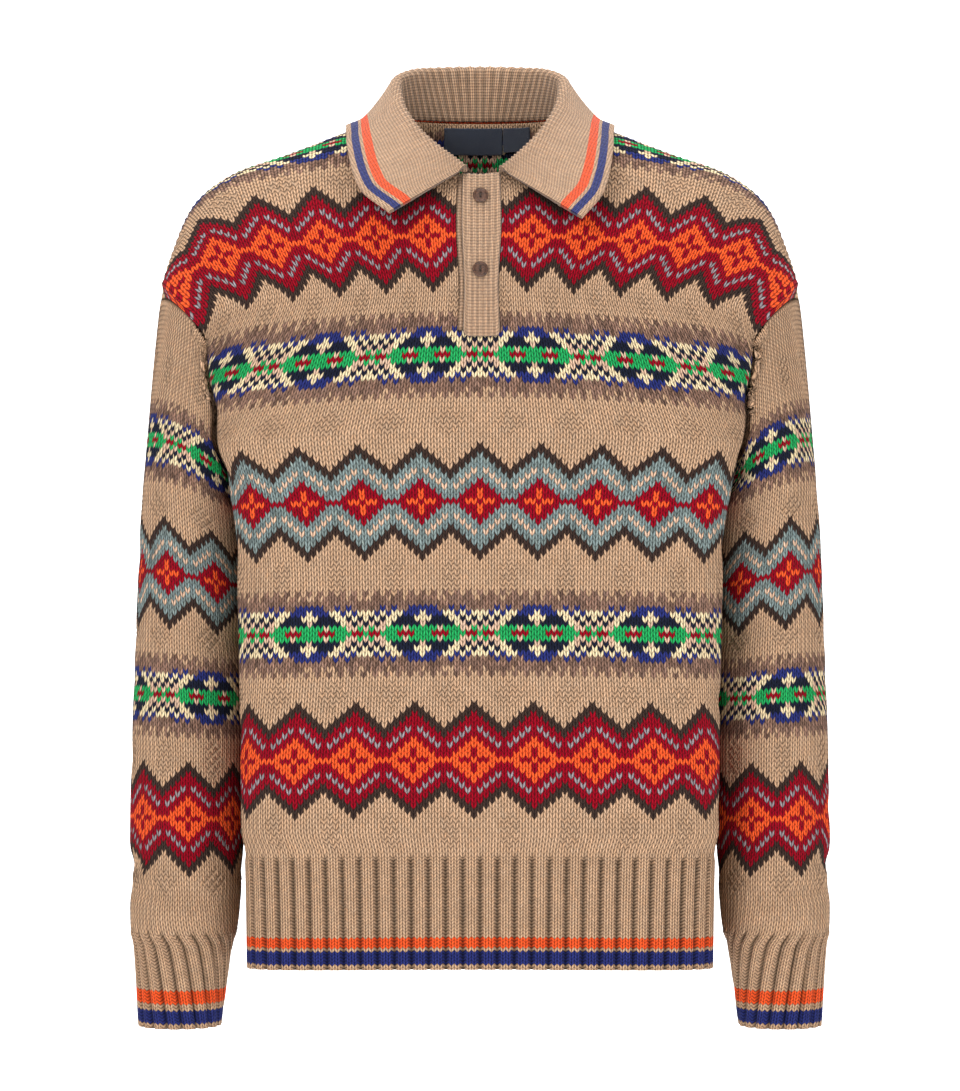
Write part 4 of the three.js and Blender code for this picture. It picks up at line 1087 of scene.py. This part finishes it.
STAND_ROWS = 10
ROLL_ROWS = 8
FALL_ROWS = 14
EDGE_ROWS = [21.0, 19.1, 17.2, 15.4, 13.5, 12.2, 11.0, 9.4, 7.7, 6.1, 4.5, 3.0, 1.5, 0.0]
COLLAR_FAR = 100.0
COLLAR_STRIPES = [(4.5, "tan"), (11.0, "royal"), (13.5, "tan"), (21.0, "orange")]
COLLAR_RIB = 0.6
COLLAR_FALL_RIB = 0.22
# How strongly the rib's grooves get painted shade, on the fall and, more, on the stand.
COLLAR_PAINTED_SHADE = {"fall": 0.25, "stand": 1.1}


def collar_bases(side):
    """Places along the neckline, from a front end to the middle of the back."""
    first = math.asin(abs(COLLAR_ENDS[side]) / NECK["half"])
    turn = np.linspace(first, math.pi, NECKLINE_STEPS)
    u = side * np.sin(turn) * NECK_SHARE * JUST_INSIDE
    line = np.where(turn < math.pi / 2, top_point("front", u), top_point("back", u)).T
    lengths = np.concatenate(([0], np.cumsum(np.linalg.norm(np.diff(line, axis=0), axis=1))))
    share = np.linspace(0, 1, COLLAR_HALF_COLUMNS + 1)
    at = share * lengths[-1]
    return share, np.stack([np.interp(at, lengths, line[:, k]) for k in range(3)], axis=1)


def collar_half(side):
    share, base = collar_bases(side)
    rows = COLLAR_STATIONS[side]
    fold = np.stack([column_at(rows, "share", "fold" + axis, share) for axis in "XYZ"], axis=1)
    edge = np.stack([column_at(rows, "share", "edge" + axis, share) for axis in "XYZ"], axis=1)
    stand = np.linalg.norm(fold - base, axis=1)
    up = unit(fold - base)
    out = edge - fold
    out = unit(out - up * (out * up).sum(axis=1)[:, None])
    roll = np.minimum(COLLAR_ROLL, stand * ROLL_SHARE)[:, None]
    turn = fold - up * roll
    seat = base + up * COLLAR_SEAT
    heart = turn + out * roll
    places = [seat + (turn - seat) * (i / STAND_ROWS) for i in range(STAND_ROWS)]
    for i in range(ROLL_ROWS + 1):
        angle = math.pi - ROLL_TURN * i / ROLL_ROWS
        places.append(heart + out * roll * math.cos(angle) + up * roll * math.sin(angle))
    start = places[-1]
    length = np.linalg.norm(edge - start, axis=1)[:, None]
    lift = unit(np.cross(unit(edge - start), np.gradient(base, axis=0)) * -side)
    from_edge = [length + (EDGE_ROWS[0] - length) * (i / FALL_ROWS) for i in range(1, FALL_ROWS)]
    from_edge += [np.full_like(length, distance) for distance in EDGE_ROWS]
    for distance in from_edge:
        part = 1 - distance / length
        bow = COLLAR_BOW * np.sin(math.pi * part) * np.minimum(share * 6, 1)[:, None]
        places.append(start + (edge - start) * part + lift * bow)
    return np.array(places)


def collar_knit():
    right = collar_half(-1)
    left = collar_half(1)
    sheet = np.concatenate((right, left[:, -2::-1]), axis=1)
    rows, columns = sheet.shape[:2]
    fall = STAND_ROWS + ROLL_ROWS + 1
    for _ in range(COLLAR_PASSES):
        rest = sheet[fall:].reshape(-1, 3)
        sheet[fall:] = keep_clear(rest, COLLAR_REST + COLLAR_WALL / 2).reshape(sheet[fall:].shape)
        inner = sheet[fall:-1, 1:-1]
        around = (sheet[fall - 1:-2, 1:-1] + sheet[fall + 1:, 1:-1]
                  + sheet[fall:-1, :-2] + sheet[fall:-1, 2:]) / 4
        sheet[fall:-1, 1:-1] = inner + (around - inner) * 0.5
    out = np.cross(np.gradient(sheet, axis=1), np.gradient(sheet, axis=0))
    out /= np.linalg.norm(out, axis=2)[:, :, None]
    if out[rows - 4, columns // 2][1] < 0:
        out = -out
    mesh, column, row = knit_grid("collar_knit", columns - 1, rows - 1)
    lengths = np.concatenate((
        np.zeros((1, columns)), np.cumsum(np.linalg.norm(np.diff(sheet, axis=0), axis=2), axis=0)))
    fallen = np.clip((row - STAND_ROWS - ROLL_ROWS / 2) / ROLL_ROWS, 0, 1)
    rib = (COLLAR_RIB + (COLLAR_FALL_RIB - COLLAR_RIB) * fallen) * np.cos(math.pi * column / 2)
    rib = rib * np.clip((rows - 1 - row) / 2, 0, 1)
    places = sheet[row, column] + out[row, column] * (COLLAR_WALL / 2 + rib)[:, None]
    uv = np.stack((column / 2, lengths[row, column] / PLACKET_COURSE), axis=1)
    face_row = row[face_corners(mesh)].min(axis=1)
    distance = np.full(rows, COLLAR_FAR)
    distance[-len(EDGE_ROWS):] = EDGE_ROWS
    from_edge = (distance[face_row] + distance[np.minimum(face_row + 1, rows - 1)]) / 2
    yarn = stripe_yarns(np.zeros(len(face_row), int), from_edge, COLLAR_STRIPES)
    # Painted shade in the rib's grooves, strongest on the stand and weaker on the fall.
    stand = np.clip((STAND_ROWS + ROLL_ROWS - face_row) / ROLL_ROWS, 0, 1)
    painted_shade_strength = COLLAR_PAINTED_SHADE["fall"] + COLLAR_PAINTED_SHADE["stand"] * stand
    shade = np.where(painted_groove_faces(mesh, column), 1 + (PAINTED_GROOVE_SHADE - 1) * painted_shade_strength, 1.0)
    knit_mesh(mesh, places, uv, yarn_shades(yarn) * shade[:, None], np.zeros(len(face_row)))
    return finish_cloth(mesh, TRIM_WOOL, COLLAR_WALL, "collar")


collar_knit()

# Buttons: two dark brown horn discs with two holes, cut and polished, and
# sewn on with two turns of brown thread.
BUTTON_X = 0.3
BUTTONS = {"button_upper": 610.5, "button_lower": 549.5}
BUTTON_SEAT = 3.4
BUTTON_FACE = 2.1
HOLE_SPACING = 3.4
THREAD_RADIUS = 0.42
THREAD_SIDES = 8
THREAD_STEPS = 10
THREAD_SHIFT = 0.4
THREAD_FLATNESS = 0.55
THREAD_SINK = 0.5


def two_tone(nodes, links, shader, pattern, dark, light, depth):
    """Colours a material from dark to light by a pattern, and raises it by the same one."""
    ramp = nodes.new("ShaderNodeValToRGB")
    ramp.color_ramp.elements[0].color = (*dark, 1)
    ramp.color_ramp.elements[1].color = (*light, 1)
    bump = set_inputs(nodes.new("ShaderNodeBump"), {"Distance": depth})
    links.new(pattern, ramp.inputs[0])
    links.new(pattern, bump.inputs["Height"])
    links.new(ramp.outputs[0], shader.inputs["Base Color"])
    links.new(bump.outputs[0], shader.inputs["Normal"])
    return ramp.color_ramp.elements, bump


def horn_material():
    """Polished dark horn, streaked through, and a little duller on its lighter streaks."""
    horn, nodes, links, shader = start_material("horn")
    set_inputs(shader, {"Coat Weight": 0.35, "Coat Roughness": 0.25})
    where = nodes.new("ShaderNodeTexCoord")
    turned = {"Scale": (1.0, 1.0, 2.6), "Rotation": (0.0, 0.6, 0.0)}
    stretch = set_inputs(nodes.new("ShaderNodeMapping"), turned)
    streaks = set_inputs(nodes.new("ShaderNodeTexNoise"), {"Scale": 320.0, "Detail": 6.0, "Distortion": 1.2})
    colours = ((0.022, 0.009, 0.005), (0.15, 0.06, 0.028))
    stops, bump = two_tone(nodes, links, shader, streaks.outputs[0], *colours, 0.0002)
    stops[0].position = 0.35
    stops[1].position = 0.7
    set_inputs(bump, {"Strength": 0.25})
    gloss = set_inputs(nodes.new("ShaderNodeMapRange"), {"To Min": 0.28, "To Max": 0.5})
    links.new(where.outputs["Object"], stretch.inputs["Vector"])
    links.new(stretch.outputs[0], streaks.inputs["Vector"])
    links.new(streaks.outputs[0], gloss.inputs["Value"])
    links.new(gloss.outputs[0], shader.inputs["Roughness"])
    return horn


HORN = horn_material()


def thread_material(name, dark, light):
    thread, nodes, links, shader = start_material(name)
    set_inputs(shader, {"Roughness": 0.7})
    where = nodes.new("ShaderNodeTexCoord")
    twist = nodes.new("ShaderNodeTexWave")
    twist.bands_direction = "DIAGONAL"
    set_inputs(twist, {"Scale": 900.0, "Distortion": 1.5})
    links.new(where.outputs["Object"], twist.inputs["Vector"])
    two_tone(nodes, links, shader, twist.outputs["Fac"], dark, light, 0.0002)
    return thread


BROWN_THREAD = thread_material("brown_thread", (0.02, 0.011, 0.007), (0.075, 0.045, 0.03))


def button_thread(name, height):
    """Two turns of thread, as flat half rings from one hole to the other."""
    bm = bmesh.new()
    for shift in (-THREAD_SHIFT, THREAD_SHIFT):
        ring = bmesh.ops.create_circle(bm, segments=THREAD_SIDES, radius=THREAD_RADIUS)["verts"]
        bmesh.ops.translate(bm, verts=ring, vec=(shift, HOLE_SPACING / 2, 0))
        edges = list(dict.fromkeys(edge for vert in ring for edge in vert.link_edges))
        bmesh.ops.spin(
            bm, geom=ring + edges, cent=(shift, 0, 0), axis=(1, 0, 0), angle=math.pi,
            steps=THREAD_STEPS, use_merge=False)
    bmesh.ops.scale(bm, verts=bm.verts[:], vec=(1, 1, THREAD_FLATNESS))
    bmesh.ops.holes_fill(bm, edges=[edge for edge in bm.edges if edge.is_boundary])
    bmesh.ops.recalc_face_normals(bm, faces=bm.faces[:])
    place, out = panel_cloth("front", np.array([BUTTON_X / HALF_PANEL]), np.array([height]))
    way = Vector(out[0])
    seat = Vector(place[0]) + way * (BUTTON_SEAT + BUTTON_FACE - THREAD_SINK)
    turn = Vector((0, 0, 1)).rotation_difference(way).to_matrix()
    for vert in bm.verts:
        vert.co = (turn @ vert.co + seat) * MM
    mesh = bpy.data.meshes.new(name)
    bm.to_mesh(mesh)
    bm.free()
    mesh.shade_smooth()
    mesh.materials.append(BROWN_THREAD)
    piece = add_object(name, mesh)
    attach(piece, "root")


for button, height in BUTTONS.items():
    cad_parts[button].material_slots[0].material = HORN
    button_thread(button + "_thread", height)

# Labels: a blank woven navy label and a small tab beside it, sewn inside the back of the neck; their navy
# thread is not drawn.
LABELS = {"neck_label": (-32.5, 20.5, 3.0, 25.0), "size_tab": (21.2, 45.6, 3.0, 23.0)}
LABEL_GAP = 3.1
LABEL_WALL = 0.8
LABEL_CELL = 1.1
LABEL_HEM = {"reach": 3.0, "fold": 1.6, "width": 0.5, "puff": 0.35}
LABEL_WAVE = {"puff": 0.25, "across": 0.45, "down": 0.3}
LABEL_RISE = 0.6


def label_material():
    """Plain navy satin weave: fine warp over weft, a little uneven."""
    satin, nodes, links, shader = start_material("navy_satin")
    set_inputs(shader, {"Roughness": 0.55, "Sheen Weight": 0.3})
    uv = nodes.new("ShaderNodeUVMap")
    uv.uv_map = "weave"
    checks = set_inputs(nodes.new("ShaderNodeTexWave"), {"Scale": 2.4, "Distortion": 0.4})
    weft = nodes.new("ShaderNodeTexWave")
    weft.bands_direction = "Y"
    set_inputs(weft, {"Scale": 1.5, "Distortion": 0.6})
    cross = nodes.new("ShaderNodeMath")
    cross.operation = "MULTIPLY"
    links.new(uv.outputs[0], checks.inputs["Vector"])
    links.new(uv.outputs[0], weft.inputs["Vector"])
    links.new(checks.outputs["Fac"], cross.inputs[0])
    links.new(weft.outputs["Fac"], cross.inputs[1])
    colours = ((0.009, 0.02, 0.05), (0.035, 0.075, 0.16))
    two_tone(nodes, links, shader, cross.outputs[0], *colours, 0.00025)
    return satin


NAVY_SATIN = label_material()


def label_piece(name, left, right, high, low):
    columns = round((right - left) / LABEL_CELL)
    rows = round((low - high) / LABEL_CELL)
    mesh, column, row = knit_grid(name + "_woven", columns, rows)
    x = left + (right - left) * column / columns
    u = x / HALF_PANEL
    down = high + (low - high) * (1 - row / rows)
    places, out = panel_cloth("back", u, top_height("back", u) - down)
    from_side = np.minimum(np.minimum(x - left, right - x), LABEL_HEM["reach"])
    hem = LABEL_HEM["puff"] * np.exp(-((from_side - LABEL_HEM["fold"]) / LABEL_HEM["width"]) ** 2)
    wave = LABEL_WAVE["puff"] * np.sin(x * LABEL_WAVE["across"]) * np.sin(down * LABEL_WAVE["down"])
    places = places - out * (LABEL_GAP + LABEL_WALL - (hem + wave) * LABEL_RISE)[:, None]
    uv = np.stack((x, down), axis=1)
    mesh.vertices.foreach_set("co", (places * MM).ravel())
    layer = mesh.uv_layers.new(name="weave")
    layer.data.foreach_set("uv", uv[face_corners(mesh).ravel()].ravel())
    mesh.shade_smooth()
    piece = finish_cloth(mesh, NAVY_SATIN, LABEL_WALL, name)


for name, size in LABELS.items():
    label_piece(name, *size)
